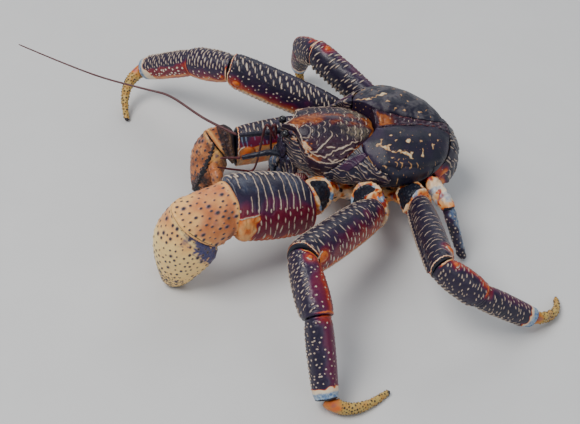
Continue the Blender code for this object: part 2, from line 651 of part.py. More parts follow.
def main():
    for obj in list(bpy.data.objects):
        bpy.data.objects.remove(obj)
    parts = bpy.data.collections.new("coconut_crab")
    cutters = bpy.data.collections.new("cutters")
    for group in (parts, cutters):
        bpy.context.scene.collection.children.link(group)

    crab = bpy.data.objects.new("crab", None)
    parts.objects.link(crab)
    trunk = bpy.data.objects.new("trunk", None)
    trunk.parent = crab
    trunk.location = Vector(TRUNK_PLACE) * MM
    trunk.rotation_euler = TRUNK_TURN
    parts.objects.link(trunk)

    room = as_cutter(add_object("cut_trunk_room", trunk_blank(GAP), cutters))
    build_trunk(parts, cutters)
    build_pleon(parts, room)
    build_face(parts, room)
    for obj in list(parts.objects) + list(cutters.objects):
        if obj.type == "MESH":
            obj.parent = trunk
    for name, spec in LEGS.items():
        build_walking_leg(name, spec, parts, cutters, room)
    for name, spec in CHELIPEDS.items():
        build_cheliped(name, spec, parts, cutters, room)
    for name, joints in REAR_LEGS.items():
        build_rear_leg(name, joints, parts, room)
    build_feelers(parts, room)
    for obj in list(parts.objects) + list(cutters.objects):
        if obj.type == "MESH" and obj.parent is None:
            obj.parent = crab
    centre_on_floor(crab, parts)


main()
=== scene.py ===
import math

import bmesh
import bpy
import numpy as np
from mathutils import Euler, Matrix, Vector
from mathutils.kdtree import KDTree


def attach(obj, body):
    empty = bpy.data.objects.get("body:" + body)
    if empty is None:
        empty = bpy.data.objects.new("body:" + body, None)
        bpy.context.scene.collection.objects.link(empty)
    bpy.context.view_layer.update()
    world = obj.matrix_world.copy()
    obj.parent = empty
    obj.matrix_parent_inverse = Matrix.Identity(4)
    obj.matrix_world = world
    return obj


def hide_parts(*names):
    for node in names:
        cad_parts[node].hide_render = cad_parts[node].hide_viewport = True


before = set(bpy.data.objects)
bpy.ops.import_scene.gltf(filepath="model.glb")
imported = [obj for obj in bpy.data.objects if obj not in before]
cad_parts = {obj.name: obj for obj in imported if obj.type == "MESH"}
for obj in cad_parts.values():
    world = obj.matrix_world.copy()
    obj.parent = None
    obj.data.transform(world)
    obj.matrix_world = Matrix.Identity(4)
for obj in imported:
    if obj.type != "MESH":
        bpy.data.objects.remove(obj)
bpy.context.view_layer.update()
mm = 0.001
print("frame loaded:", len(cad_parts), "parts")


def unit(way):
    return np.asarray(way, float) / np.linalg.norm(way)


def ease(low, high, value):
    t = np.clip((value - low) / (high - low), 0.0, 1.0)
    return t * t * (3.0 - 2.0 * t)


def bell(value, width):
    return np.exp(-(value / width) ** 2)


def chance(*numbers):
    # an even random share from 0 to 1 for each whole-number cell
    total = sum(np.asarray(number, float) * factor for number, factor in
                zip(numbers, (12.9898, 78.233, 37.719, 4.581)))
    return np.modf(np.abs(np.sin(total) * 43758.5453))[0]


def toward(value, goal, share):
    return value * (1.0 - share) + goal * share


def turnOf(degrees):
    return Euler([math.radians(angle) for angle in degrees]).to_matrix()


# how the trunk sits over the ground: its own axes run to the rear, to the right and up
trunkSeat = dict(place=(81.8, 50.2, 60.0), turn=turnOf((7.0, 5.0, 20.0)))
# the way the broad faces of the limbs look, with the ways across them and up them; the upper crests
# of the limbs stand square to the first
outward = np.array((0.155, -0.727, 0.669))
sideways = np.array((math.cos(math.radians(12)), math.sin(math.radians(12)), 0.0))
upward = unit(np.cross(outward, sideways))
# signed distances to marks are in millimetres and positive inside a mark; these stand for no mark at
# all, for a dash left out of its row, and for a place far off every line
noMark, noDash, farOff = -3.0, -2.0, -9.0
noFlat = 99.0  # how far away the closing flat of a limb is where there is none


def ripple(points, size, seed):
    # a smooth random field, about -1 to 1, whose features are about the given size across
    waves = 14
    dice = np.random.default_rng(seed)
    ways = dice.normal(size=(waves, points.shape[1]))
    ways /= np.linalg.norm(ways, axis=1)[:, None]
    ways *= (2.0 * math.pi / size) * dice.uniform(0.6, 1.4, (waves, 1))
    turns = dice.uniform(0.0, 2.0 * math.pi, waves)
    return np.cos(points @ ways.T + turns).sum(axis=1) / math.sqrt(waves)


def dashes(along, across, rowGap, colGap, halfLength, halfWidth, bend=0.0, tilt=0.0, loose=0.25, fill=1.0,
           seed=0.0):
    # rows of short strokes; loose is how far each strays from its place, fill the share that is there
    row = np.floor(along / rowGap)
    shift = 0.5 * np.mod(row, 2.0)
    col = np.floor(across / colGap + shift)
    a, b, c = (chance(row, col, seed + k) for k in (1.0, 2.0, 3.0))
    down = along - (row + 0.5 + (a - 0.5) * loose) * rowGap
    side = across - (col + 0.5 - shift + (b - 0.5) * loose) * colGap
    reach = halfLength * (0.6 + 0.7 * c)
    down = down + bend * side ** 2 + tilt * side
    away = np.hypot(np.maximum(np.abs(side) - reach, 0.0), down)
    narrow = halfWidth * (1.0 - 0.45 * np.clip(np.abs(side) / np.maximum(reach, 0.01), 0, 1) ** 2)
    return np.where(chance(row, col, seed + 4.0) < fill, narrow - away, noDash)


def ridges(along, across, gap, halfWidth, wave, broken=0.0, cell=9.0, seed=0.0):
    # long lines that thin out and break; cell is the length over which a line changes
    place = along / gap + wave
    row = np.floor(place)
    away = np.abs(place - row - 0.5) * gap
    near = across / cell + chance(row, seed) * 5.0
    col = np.floor(near)
    here, after = chance(row, col, seed + 1.0), chance(row, col + 1.0, seed + 1.0)
    strength = here + (after - here) * ease(0.0, 1.0, near - col)
    return halfWidth * (0.7 + 0.5 * strength) - away - 3.0 * ease(broken + 0.06, broken - 0.06, strength)


def treeOf(places):
    tree = KDTree(len(places))
    for k, place in enumerate(places):
        tree.insert(place, k)
    tree.balance()
    return tree


def scatter(points, gap, seed, wanted):
    # dots strewn over the wanted points, none nearer to another than the gap: how far each point is
    # from its nearest dot, and that dot's own luck from 0 to 1
    tries = 5000
    dice = np.random.default_rng(seed)
    kept = np.empty((0, 3))
    for place in points[dice.choice(np.nonzero(wanted)[0], tries)]:
        if len(kept) == 0 or np.linalg.norm(kept - place, axis=1).min() > gap:
            kept = np.vstack((kept, place))
    tree = treeOf(kept)
    found = [tree.find(point)[1:] for point in points]
    return np.array([away for k, away in found]), chance([k for k, away in found], seed)


def stroke(x, y, route, halfWidth):
    # distance to a line through the points of the route, thinner towards its ends
    best = np.full(x.shape, farOff)
    count = len(route) - 1
    for k, ((x0, y0), (x1, y1)) in enumerate(zip(route, route[1:])):
        dx, dy = x1 - x0, y1 - y0
        t = np.clip(((x - x0) * dx + (y - y0) * dy) / (dx * dx + dy * dy), 0.0, 1.0)
        away = np.hypot(x - x0 - t * dx, y - y0 - t * dy)
        along = (k + t) / count
        thin = halfWidth * (0.45 + 0.55 * np.sin(math.pi * np.clip(along, 0.04, 0.96)) ** 0.5)
        best = np.maximum(best, thin - away)
    return best


def blotches(x, y, spots, wobble):
    # spots: place, half sizes, turn in degrees
    best = np.full(x.shape, farOff)
    for cx, cy, rx, ry, turn in spots:
        c, s = math.cos(math.radians(turn)), math.sin(math.radians(turn))
        p = ((x - cx) * c + (y - cy) * s) / rx
        q = (-(x - cx) * s + (y - cy) * c) / ry
        reach = (np.abs(p) ** 1.25 + np.abs(q) ** 1.25) ** 0.8
        best = np.maximum(best, (1.0 - reach) * min(rx, ry))
    return best + wobble


def meshPlaces(mesh):
    places = np.empty(len(mesh.vertices) * 3)
    mesh.vertices.foreach_get("co", places)
    return places.reshape(-1, 3) / mm


def meshLinks(mesh):
    ends = np.empty(len(mesh.edges) * 2, np.int32)
    mesh.edges.foreach_get("vertices", ends)
    return ends.reshape(-1, 2)


def meshNormals(mesh):
    ways = np.empty(len(mesh.vertices) * 3)
    mesh.vertex_normals.foreach_get("vector", ways)
    return ways.reshape(-1, 3)


def evaluated(worker, name):
    view = bpy.context.evaluated_depsgraph_get()
    mesh = bpy.data.meshes.new_from_object(worker.evaluated_get(view))
    mesh.name = name
    return mesh


def nodePoints(name):
    return np.unique(np.round(meshPlaces(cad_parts[name].data), 3), axis=0)


def meeting(first, second, count=12):
    # the middle of the joint between two neighbouring parts
    a, b = nodePoints(first), nodePoints(second)
    gaps = np.linalg.norm(a[:, None] - b[None], axis=2)
    fromA = a[np.argsort(gaps.min(axis=1))[:count]].mean(axis=0)
    fromB = b[np.argsort(gaps.min(axis=0))[:count]].mean(axis=0)
    return (fromA + fromB) / 2


def farEnd(name, start, count=10):
    points = nodePoints(name)
    away = np.linalg.norm(points - start, axis=1)
    return points[np.argsort(away)[-count:]].mean(axis=0)


def addLump(builder, start, end, radius):
    # an egg from one place to another, which the fine grain then melts into the part
    turn = Vector(end - start).to_track_quat("Z", "Y").to_matrix().to_4x4()
    halves = Matrix.Diagonal((radius, radius, np.linalg.norm(end - start) / 2 + 0.7 * radius, 1.0))
    place = Matrix.Translation(Vector(start + end) * mm / 2)
    bmesh.ops.create_icosphere(builder, subdivisions=4, radius=mm, matrix=place @ turn @ halves)


def creaseFlats(builder, axis):
    # the rims of the flats that close a limb stay crisp when it is rounded
    crease = builder.edges.layers.float.new("crease_edge")
    for edge in builder.edges:
        tilts = sorted(abs(face.normal.dot(Vector(axis))) for face in edge.link_faces)
        if tilts[0] < 0.5 and tilts[-1] > 0.6:
            edge[crease] = 0.8


def startMesh(node, shape, rounds, axis, lumps):
    # the part's own mesh, or another shape, merged and with its lumps
    builder = bmesh.new()
    builder.from_mesh(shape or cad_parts[node].data)
    for start, end, radius in lumps:
        addLump(builder, start, end, radius)
    bmesh.ops.remove_doubles(builder, verts=builder.verts, dist=1e-6)
    if rounds:
        bmesh.ops.join_triangles(builder, faces=builder.faces, angle_face_threshold=math.radians(30),
                                 angle_shape_threshold=math.radians(120))
        builder.normal_update()
        if axis is not None:
            creaseFlats(builder, axis)
    mesh = bpy.data.meshes.new("blank")
    builder.to_mesh(mesh)
    builder.free()
    return mesh


def modify(worker, name, kind, **settings):
    modifier = worker.modifiers.new(name, kind)
    for setting, value in settings.items():
        setattr(modifier, setting, value)


# rims that turn by more than this range of degrees are held still, and so are their neighbours
meltPlan = dict(sharp=(20.0, 30.0), neighbours=2, levels=4, factor=0.5)


def freedom(mesh):
    # how free each vertex is to move, from 0 on a sharp rim to 1
    links = meshLinks(mesh)
    ways = meshNormals(mesh)
    turn = np.degrees(np.arccos(np.clip((ways[links[:, 0]] * ways[links[:, 1]]).sum(axis=1), -1, 1)))
    rim = np.zeros(len(mesh.vertices))
    np.maximum.at(rim, links[:, 0], turn)
    np.maximum.at(rim, links[:, 1], turn)
    low, high = meltPlan["sharp"]
    free = 1.0 - ease(low, high, rim)
    for again in range(meltPlan["neighbours"]):
        lowest = free.copy()
        np.minimum.at(lowest, links[:, 0], free[links[:, 1]])
        np.minimum.at(lowest, links[:, 1], free[links[:, 0]])
        free = lowest
    return free


def meltFacets(worker, mesh, turns):
    # the flat facets melt together, and the sharp rims stay where they are
    levels = meltPlan["levels"]
    level = np.round(freedom(mesh) * levels).astype(int)
    worker.modifiers.clear()
    worker.data = mesh
    group = worker.vertex_groups.new(name="free")
    for step in range(1, levels + 1):
        group.add(np.nonzero(level == step)[0].tolist(), step / levels, "REPLACE")
    modify(worker, "melt facets", "SMOOTH", factor=meltPlan["factor"], iterations=turns, vertex_group="free")


def refine(node, shape, grain, rounds, relax, facets, axis, lumps):
    worker = bpy.data.objects.new("blank", startMesh(node, shape, rounds, axis, lumps))
    bpy.context.scene.collection.objects.link(worker)
    if rounds:
        modify(worker, "round off", "SUBSURF", levels=rounds, render_levels=rounds)
    if grain:
        modify(worker, "fine grain", "REMESH", mode="VOXEL", voxel_size=grain * mm, use_smooth_shade=True)
    if relax:
        modify(worker, "soften", "SMOOTH", factor=0.5, iterations=relax)
    mesh = evaluated(worker, node)
    if facets:
        meltFacets(worker, mesh, facets)
        mesh = evaluated(worker, node)
    bpy.data.objects.remove(worker)
    return mesh


class Skin:
    # one part's surface as numbers: places and normals in millimetres, and masks for its paint
    # grain: voxel size; rounds: subdivisions before it; relax and facets: smoothing turns after it
    def __init__(self, node, grain=0.6, rounds=0, relax=4, facets=0, joints=None, shape=None, lumps=()):
        self.node, self.added = node, shape is not None
        axis = unit(joints[1] - joints[0]) if joints else None
        self.mesh = refine(node, shape, grain, rounds, relax, facets, axis, lumps)
        self.points = meshPlaces(self.mesh)
        self.normals = meshNormals(self.mesh)
        self.height = np.zeros(len(self.points))
        self.masks = {name: np.zeros(len(self.points)) for name in ("warm", "mark", "blue", "black")}
        self.set("mark", noMark)
        if joints:
            self.limbPlace(*joints)

    def set(self, name, values):
        self.masks[name] = values * np.ones(len(self.points))

    def blend(self, name, values, share):
        self.masks[name] = toward(self.masks[name], values, share)

    def most(self, name, values):
        self.masks[name] = np.maximum(self.masks[name], values)

    def over(self, name, values, where):
        self.masks[name] = np.where(where, values, self.masks[name])

    def plump(self, share):
        self.height += share * self.radius * self.side

    def trunkPlace(self):
        return (self.points - np.array(trunkSeat["place"])) @ np.array(trunkSeat["turn"])

    def trunkWay(self):
        return self.normals @ np.array(trunkSeat["turn"])

    def limbPlace(self, start, end, crest):
        # how far along the limb, and the angle away from its crest; the crest is a way, or which
        # side of the limb it is on
        axis = unit(end - start)
        along = (self.points - start) @ axis
        spoke = self.points - start - along[:, None] * axis
        crest = crest * np.cross(axis, outward) if np.ndim(crest) == 0 else np.asarray(crest, float)
        crest = unit(crest - np.dot(crest, axis) * axis)
        beside = np.cross(axis, crest)
        beside = beside if np.dot(beside, outward) > 0 else -beside
        turn = np.arctan2(spoke @ beside, spoke @ crest)
        self.along, self.turn, self.axis, self.start = along, turn, axis, start
        self.degrees = np.degrees(np.abs(turn))
        self.length = float(np.linalg.norm(end - start))
        self.radius = float(np.median(np.linalg.norm(spoke, axis=1)))
        self.side = 1.0 - (self.normals @ axis) ** 2
        self.nearGap, self.farGap = self.capGap(-1), self.capGap(1)
        self.inward = np.zeros(len(self.points))

    def capGap(self, end):
        # how far each point near this end is from the flat that closes the limb there
        beyond = (self.along - self.length / 2) * end - self.length / 2
        flat = (self.normals @ self.axis * end > 0.5) & (beyond > -12.0)
        gap = np.full(len(self.points), noFlat)
        if flat.any():
            tree = treeOf(self.points[flat])
            for index in np.nonzero(beyond > -24.0)[0]:
                gap[index] = tree.find(self.points[index])[2]
        return gap

    def swell(self, amount, reach):
        # the near end grows wider, to meet the part before it
        spoke = self.points - self.start - self.along[:, None] * self.axis
        self.points += spoke * (amount * ease(reach, 0.0, self.along))[:, None]

    def reachOut(self, near, far, span=6.0):
        # the ends are drawn out along the limb
        self.points -= self.axis * (near * ease(span, 0.0, self.along))[:, None]
        self.points += self.axis * (far * ease(self.length - span, self.length, self.along))[:, None]

    def facePlace(self):
        # across and up the broad face, from the middle of the part
        x, y = self.points @ sideways, self.points @ upward
        return x - (x.min() + x.max()) / 2, y - (y.min() + y.max()) / 2

    def rimDistance(self, isTop):
        # how far each point is from the edge of the plate's upper side
        walls = treeOf(self.points[~isTop])
        return np.array([walls.find(point)[2] for point in self.points])

    def finish(self, paint, slot, floor=True):
        points = self.points + self.normals * self.height[:, None]
        if floor:
            points[:, 2] = np.maximum(points[:, 2], 0.0)
        self.mesh.vertices.foreach_set("co", (points * mm).ravel())
        for name, values in self.masks.items():
            layer = self.mesh.attributes.new(name, "FLOAT", "POINT")
            layer.data.foreach_set("value", values.astype(np.float32))
        self.mesh.materials.clear()
        self.mesh.materials.append(paint)
        self.mesh.shade_smooth()
        self.mesh.update()
        piece = bpy.data.objects.new("skin_" + self.node, self.mesh)
        bpy.context.scene.collection.objects.link(piece)
        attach(piece, "root")
        if not self.added:
            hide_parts(self.node)


class Tone:
    # a shader value that can be written into sums
    def __init__(self, paint, socket):
        self.paint, self.socket = paint, socket

    def maths(self, operation, first, second):
        return self.paint.node("ShaderNodeMath", dict(operation=operation), {0: first, 1: second})

    def __add__(self, other):
        return self.maths("ADD", self, other)

    def __sub__(self, other):
        return self.maths("SUBTRACT", self, other)

    def __rsub__(self, other):
        return self.maths("SUBTRACT", other, self)

    def __mul__(self, other):
        return self.maths("MULTIPLY", self, other)

    __radd__ = __add__
    __rmul__ = __mul__

    def step(self, low, high):
        return self.paint.node("ShaderNodeMapRange", dict(interpolation_type="SMOOTHSTEP"),
                               {"Value": self, "From Min": low, "From Max": high})


class Paint:
    def __init__(self, name):
        self.material = bpy.data.materials.new(name)
        self.material.use_nodes = True
        self.tree = self.material.node_tree
        self.shader = self.tree.nodes["Principled BSDF"]
        self.place = self.node("ShaderNodeTexCoord", {}, {}, "Object")

    def node(self, kind, settings, inputs, output=0):
        made = self.tree.nodes.new(kind)
        for name, value in settings.items():
            if name == "stops":
                ramp = made.color_ramp
                while len(ramp.elements) < len(value):
                    ramp.elements.new(0.5)
                for element, (position, colour) in zip(ramp.elements, value):
                    element.position = position
                    element.color = (*colour, 1.0)
            else:
                setattr(made, name, value)
        for name, value in inputs.items():
            self.plug(made.inputs[name], value)
        return Tone(self, made.outputs[output])

    def plug(self, socket, value):
        if isinstance(value, Tone):
            self.tree.links.new(value.socket, socket)
        elif isinstance(value, tuple) and len(value) == 3 and socket.type == "RGBA":
            socket.default_value = (*value, 1.0)
        else:
            socket.default_value = value

    def mask(self, name):
        settings = dict(attribute_type="GEOMETRY", attribute_name=name)
        return self.node("ShaderNodeAttribute", settings, {}, "Fac")

    def noise(self, size, detail=3.0, rough=0.55):
        # size: millimetres across its largest features
        return self.node("ShaderNodeTexNoise", {}, {"Vector": self.place, "Scale": 1.0 / (size * mm),
                                                    "Detail": detail, "Roughness": rough})

    def mix(self, first, second, share):
        return self.node("ShaderNodeMix", dict(data_type="RGBA", clamp_factor=True),
                         {0: share, 6: first, 7: second}, 2)

    def ramp(self, value, stops):
        return self.node("ShaderNodeValToRGB", dict(stops=stops), {"Fac": value})

    def finish(self, colour, roughness, bump, lift, coat=0.0, coatRough=0.15, shine=0.5):
        self.plug(self.shader.inputs["Base Color"], colour)
        self.plug(self.shader.inputs["Roughness"], roughness)
        self.shader.inputs["Coat Weight"].default_value = coat
        self.shader.inputs["Coat Roughness"].default_value = coatRough
        self.shader.inputs["Specular IOR Level"].default_value = shine
        relief = self.node("ShaderNodeBump", {}, {"Height": bump, "Strength": 1.0, "Distance": lift * mm})
        self.plug(self.shader.inputs["Normal"], relief)
        return self.material


def shellPaint(name, look):
    paint = Paint(name)
    cloud = paint.noise(look["cloud"], 4.0, 0.6)
    fleck = paint.noise(look["fleck"], 4.0, 0.6)
    grit = paint.noise(look["grit"], 3.0, 0.6)
    warm = paint.mask("warm") + (cloud - 0.5) * look["mottle"] + (fleck - 0.5) * look["speckle"]
    colour = paint.ramp(warm, look["stops"])
    dusty = (paint.noise(look["haze"], 5.0, 0.65) * fleck).step(0.2, 0.5)
    colour = paint.mix(colour, look["dust"], dusty * look["dusty"])
    blue = (paint.mask("blue") + (cloud - 0.5) * 0.5).step(0.15, 0.85)
    colour = paint.mix(colour, paint.mix(look["blue"][0], look["blue"][1], fleck.step(0.35, 0.65)), blue)
    black = (paint.mask("black") + (fleck - 0.5) * 0.3).step(0.3, 0.7)
    colour = paint.mix(colour, look["black"], black)
    mark = paint.mask("mark") + (fleck - 0.5) * look["ragged"]
    inside = mark.step(-0.22, 0.22)
    edge, heart = look["mark"]
    colour = paint.mix(colour, paint.mix(edge, heart, (mark + (grit - 0.5) * 0.5).step(0.05, 0.75)), inside)
    low, high = look["rough"]
    roughness = low + (high - low) * fleck + inside * look["chalk"] + black * 0.06
    bump = grit * 0.35 + fleck * 0.65 + inside * 0.25
    return paint.finish(colour, roughness, bump, look["lift"], look["coat"], 0.18, look["shine"])


cream = (0.74, 0.66, 0.55)
# from the dark upper side to the pale lower margin
limbStops = ((0.0, (0.009, 0.009, 0.022)), (0.18, (0.024, 0.009, 0.038)), (0.34, (0.086, 0.002, 0.038)),
             (0.48, (0.150, 0.002, 0.018)), (0.62, (0.34, 0.024, 0.005)), (0.75, (0.60, 0.14, 0.012)),
             (0.87, (0.70, 0.34, 0.11)), (1.0, (0.76, 0.63, 0.45)))
# sizes in millimetres; mark: the colours at the edge and in the heart of a mark
limbLook = dict(cloud=14.0, fleck=1.9, grit=0.55, haze=7.0, mottle=0.16, speckle=0.12, stops=limbStops,
                dust=(0.13, 0.10, 0.15), dusty=0.08, blue=((0.07, 0.15, 0.32), (0.34, 0.43, 0.50)),
                black=(0.006, 0.008, 0.018), ragged=0.6, mark=((0.36, 0.26, 0.19), cream),
                rough=(0.26, 0.52), chalk=0.14, lift=0.16, coat=0.10, shine=0.36)
shieldLook = dict(limbLook, cloud=11.0, fleck=1.6, mottle=0.20, speckle=0.16, dusty=0.10,
                  stops=((0.0, (0.012, 0.010, 0.020)), (0.2, (0.026, 0.011, 0.026)),
                         (0.36, (0.044, 0.006, 0.018)), (0.52, (0.12, 0.020, 0.008)),
                         (0.68, (0.30, 0.080, 0.014)), (0.84, (0.50, 0.19, 0.045)),
                         (1.0, (0.66, 0.50, 0.34))),
                  blue=((0.055, 0.048, 0.056), (0.24, 0.19, 0.12)), rough=(0.25, 0.44), coat=0.08, shine=0.32)
domeLook = dict(limbLook, cloud=20.0, fleck=1.3, mottle=0.12, speckle=0.10, dust=(0.060, 0.056, 0.066),
                dusty=0.16, ragged=0.5, mark=((0.46, 0.23, 0.08), (0.62, 0.52, 0.33)), rough=(0.34, 0.60),
                blue=((0.075, 0.070, 0.082), (0.135, 0.128, 0.130)),
                chalk=0.10, lift=0.22, coat=0.06, shine=0.32)
clawLook = dict(limbLook, cloud=12.0, fleck=1.5, mottle=0.26, speckle=0.16, dust=(0.50, 0.36, 0.22),
                dusty=0.25,
                stops=((0.0, (0.92, 0.66, 0.25)), (0.3, (0.86, 0.46, 0.14)), (0.55, (0.68, 0.28, 0.095)),
                       (0.8, (0.54, 0.16, 0.048)), (1.0, (0.16, 0.050, 0.020))),
                blue=((0.024, 0.030, 0.13), (0.085, 0.070, 0.15)), black=(0.010, 0.010, 0.016), ragged=0.5,
                mark=((0.14, 0.085, 0.075), (0.010, 0.012, 0.026)), rough=(0.36, 0.55), chalk=0.0, lift=0.16,
                coat=0.15)
dactylLook = dict(clawLook, cloud=9.0, fleck=1.0, mottle=0.2, speckle=0.24,
                  stops=((0.0, (0.50, 0.34, 0.09)), (0.4, (0.46, 0.23, 0.040)), (0.7, (0.54, 0.19, 0.025)),
                         (1.0, (0.60, 0.12, 0.014))),
                  mark=((0.05, 0.03, 0.015), (0.008, 0.007, 0.007)), dusty=0.10, coat=0.1)
fourthLook = dict(limbLook, cloud=7.0, fleck=2.6, blue=((0.15, 0.23, 0.36), (0.38, 0.45, 0.50)),
                  rough=(0.3, 0.5))
paints = {name: shellPaint(name, look) for name, look in
          (("limbShell", limbLook), ("shieldShell", shieldLook), ("domeShell", domeLook),
           ("clawShell", clawLook), ("dactylShell", dactylLook), ("fourthShell", fourthLook))}
print("paints mixed")


# places along the trunk and away from its middle; a reach is where a patch starts and where it is full
shieldPlan = dict(
    skin=dict(grain=0.5, relax=2, facets=160), base=0.08, wallWarm=0.16,
    lateral=dict(reach=(11.0, 17.0), warm=0.19, grain=0.14),
    band=dict(half=5.2, soft=2.5, front=(-90.0, -78.0), warm=0.54),
    streak=dict(reach=(-57.0, -26.0), half=2.3, dark=0.62),
    saddle=dict(along=(-56.0, -36.0), across=(19.0, 12.0), grey=0.62),
    rear=dict(reach=(-46.0, -34.0), edge=(4.6, 1.6), warm=0.80, black=0.55),
    flush=dict(place=(-66.5, 27.5), reach=(8.0, 3.5), warm=0.76, share=0.8),
    corner=dict(place=(-74.5, 19.5), reach=(5.0, 2.6), warm=0.97),
    tuft=dict(place=(-70.5, 24.5), reach=(2.4, 1.2)),
    hoop=dict(place=(-71.5, 9.7), radius=3.9, half=0.22, clear=4.6, open=2.2),
    small=dict(rowGap=4.6, colGap=5.0, halfLength=1.8, halfWidth=0.37, bend=0.34, loose=0.35, fill=0.9,
               seed=2.0),
    large=dict(rowGap=5.4, colGap=5.8, halfLength=2.2, halfWidth=0.42, bend=0.24, loose=0.4, fill=0.92,
               seed=9.0),
    bits=dict(rowGap=3.6, colGap=5.2, halfLength=1.3, halfWidth=0.34, bend=-0.05, loose=0.7, fill=0.55,
              seed=21.0),
    wall=dict(gap=2.6, halfWidth=0.24, broken=0.34, cell=5.0, seed=4.0), smallEnd=-46, lip=0.42,
    ridgesLeft=(((-69, 22), (-64, 22.4), (-60, 19.8), (-56, 17), (-52.5, 14.5)),
                ((-71, 20.5), (-66, 23.8), (-61, 25.2), (-56, 24.8), (-52, 22.6), (-48, 21.5), (-43, 19.9),
                 (-38, 17.6), (-33.5, 16.2)),
                ((-57, 20.6), (-54, 20.9), (-51, 20.2)), ((-47, 24.2), (-43, 22.3), (-38, 20.6), (-35, 20.4)),
                ((-56, 26.8), (-52.5, 27.1), (-49, 26.4)), ((-67, 25.8), (-62, 28.0), (-57, 28.4))),
    ridgeHalf=0.46, ridgeLift=0.5, moat=0.30, keel=0.5)


def shieldWarmth(u, v, rim, drift, fine, band, rear):
    plan, r = shieldPlan, np.abs(v)
    lateral = ease(*plan["lateral"]["reach"], r + drift)
    warm = plan["base"] + plan["lateral"]["warm"] * lateral + (plan["band"]["warm"] + 0.06 * fine) * band
    low, high = plan["streak"]["reach"]
    streak = bell(v + 0.6 + 0.5 * drift, plan["streak"]["half"])
    streak *= ease(low - 5, low + 4, u)
    streak *= ease(high + 4, high - 6, u)
    warm -= plan["streak"]["dark"] * streak * (0.75 + 0.25 * drift)
    edge = ease(*plan["rear"]["edge"], rim + 0.6 * drift) * rear
    warm = toward(warm, plan["rear"]["warm"] - 0.26 * ease(2.0, 0.4, rim), edge)
    place, out = plan["flush"]["place"]
    flush = ease(*plan["flush"]["reach"], np.hypot(u - place, (r - out) * 1.4) + 0.8 * fine)
    warm = toward(warm, plan["flush"]["warm"], plan["flush"]["share"] * flush)
    place, out = plan["corner"]["place"]
    corner = ease(*plan["corner"]["reach"], np.hypot((u - place) * 0.7, r - out) + 1.3 * fine)
    place, out = plan["tuft"]["place"]
    corner = np.maximum(corner, ease(*plan["tuft"]["reach"], np.hypot(u - place, r - out) + fine))
    return toward(warm, plan["corner"]["warm"], corner)


def shieldMarks(u, v, rim, fine):
    plan, r = shieldPlan, np.abs(v)
    # crescents beside the band, larger towards the rear
    small = np.where((r > 2.6) & (r < 15.0) & (u < plan["smallEnd"]), dashes(u, v, **plan["small"]), noDash)
    large = np.where((r < 17.0) & (u >= plan["smallEnd"]) & (rim > 4.0),
                     dashes(u, v, **plan["large"]), noDash)
    # an open hoop on each side of the front, with nothing inside it
    hoop = plan["hoop"]
    ahead, out = u - hoop["place"][0], r - hoop["place"][1]
    ring = hoop["half"] - np.abs(np.hypot(ahead, out * 0.85 + 0.4 * fine) - hoop["radius"])
    ring = np.where(np.abs(np.arctan2(out, ahead)) < hoop["open"], ring, noDash)
    clear = np.hypot(ahead, out) < hoop["clear"]
    mark = np.maximum(np.where(clear, noDash, np.maximum(small, large)), ring)
    wobble = 0.35 * ripple(np.stack((u, v), axis=1), 5.0, 8)
    for route in plan["ridgesLeft"]:
        mark = np.maximum(mark, stroke(u, r + wobble, route, plan["ridgeHalf"]))
    bits = dashes(u + 0.4 * r, r, **plan["bits"])
    return np.maximum(mark, np.where((r > 13.0) & (mark < -1.2) & (u > -71), bits, noDash))


def carveShield():
    plan = shieldPlan
    skin = Skin("carapace_shield", **plan["skin"])
    u, v, w = skin.trunkPlace().T
    r = np.abs(v)
    top = skin.trunkWay()[:, 2] > 0.5
    rim = skin.rimDistance(top)
    flat = np.stack((u, v), axis=1)
    drift, fine = ripple(flat, 9.0, 3), ripple(flat, 3.2, 6)
    half, soft = plan["band"]["half"], plan["band"]["soft"]
    band = ease(half + soft, half - soft, r + drift * 1.2 + 0.6 * fine) * ease(*plan["band"]["front"], u)
    rear = ease(*plan["rear"]["reach"], u)
    warm = shieldWarmth(u, v, rim, drift, fine, band, rear)
    skin.set("warm", np.where(top, warm, plan["wallWarm"] + 0.04 * drift))
    saddle = ease(*plan["saddle"]["along"], u - 0.15 * r + 2.5 * drift)
    saddle *= ease(*plan["saddle"]["across"], r + fine)
    saddle *= 1.0 - 0.75 * band
    skin.set("blue", (plan["saddle"]["grey"] + 0.15 * fine) * saddle * ease(1.5, 6.0, rim))
    skin.set("black", np.where(top, 0.0, plan["rear"]["black"] * rear))
    mark = np.where(top & (rim > 0.8), shieldMarks(u, v, rim, fine), noMark)
    lip = np.where(top & (rim < 1.6), plan["lip"] - np.abs(rim - 0.9 - 0.25 * fine), noMark)
    mark = np.maximum(mark, lip - 3.0 * rear)
    walls = ridges(w + 0.05 * u, u, wave=0.16 * drift, **plan["wall"])
    mark = np.where(~top & (u < -30), walls, mark)
    skin.set("mark", mark)
    skin.height += plan["ridgeLift"] * ease(-0.5, 0.45, mark) - plan["moat"] * ease(-1.6, -0.7, mark) * top
    grain = plan["lateral"]["grain"] * ripple(flat, 3.4, 5) * top * ease(*plan["lateral"]["reach"], r + drift)
    skin.height += grain - plan["keel"] * bell(v, 2.2) * ease(-50, -30, u) * top
    skin.finish(paints["shieldShell"], "shell_brown", False)


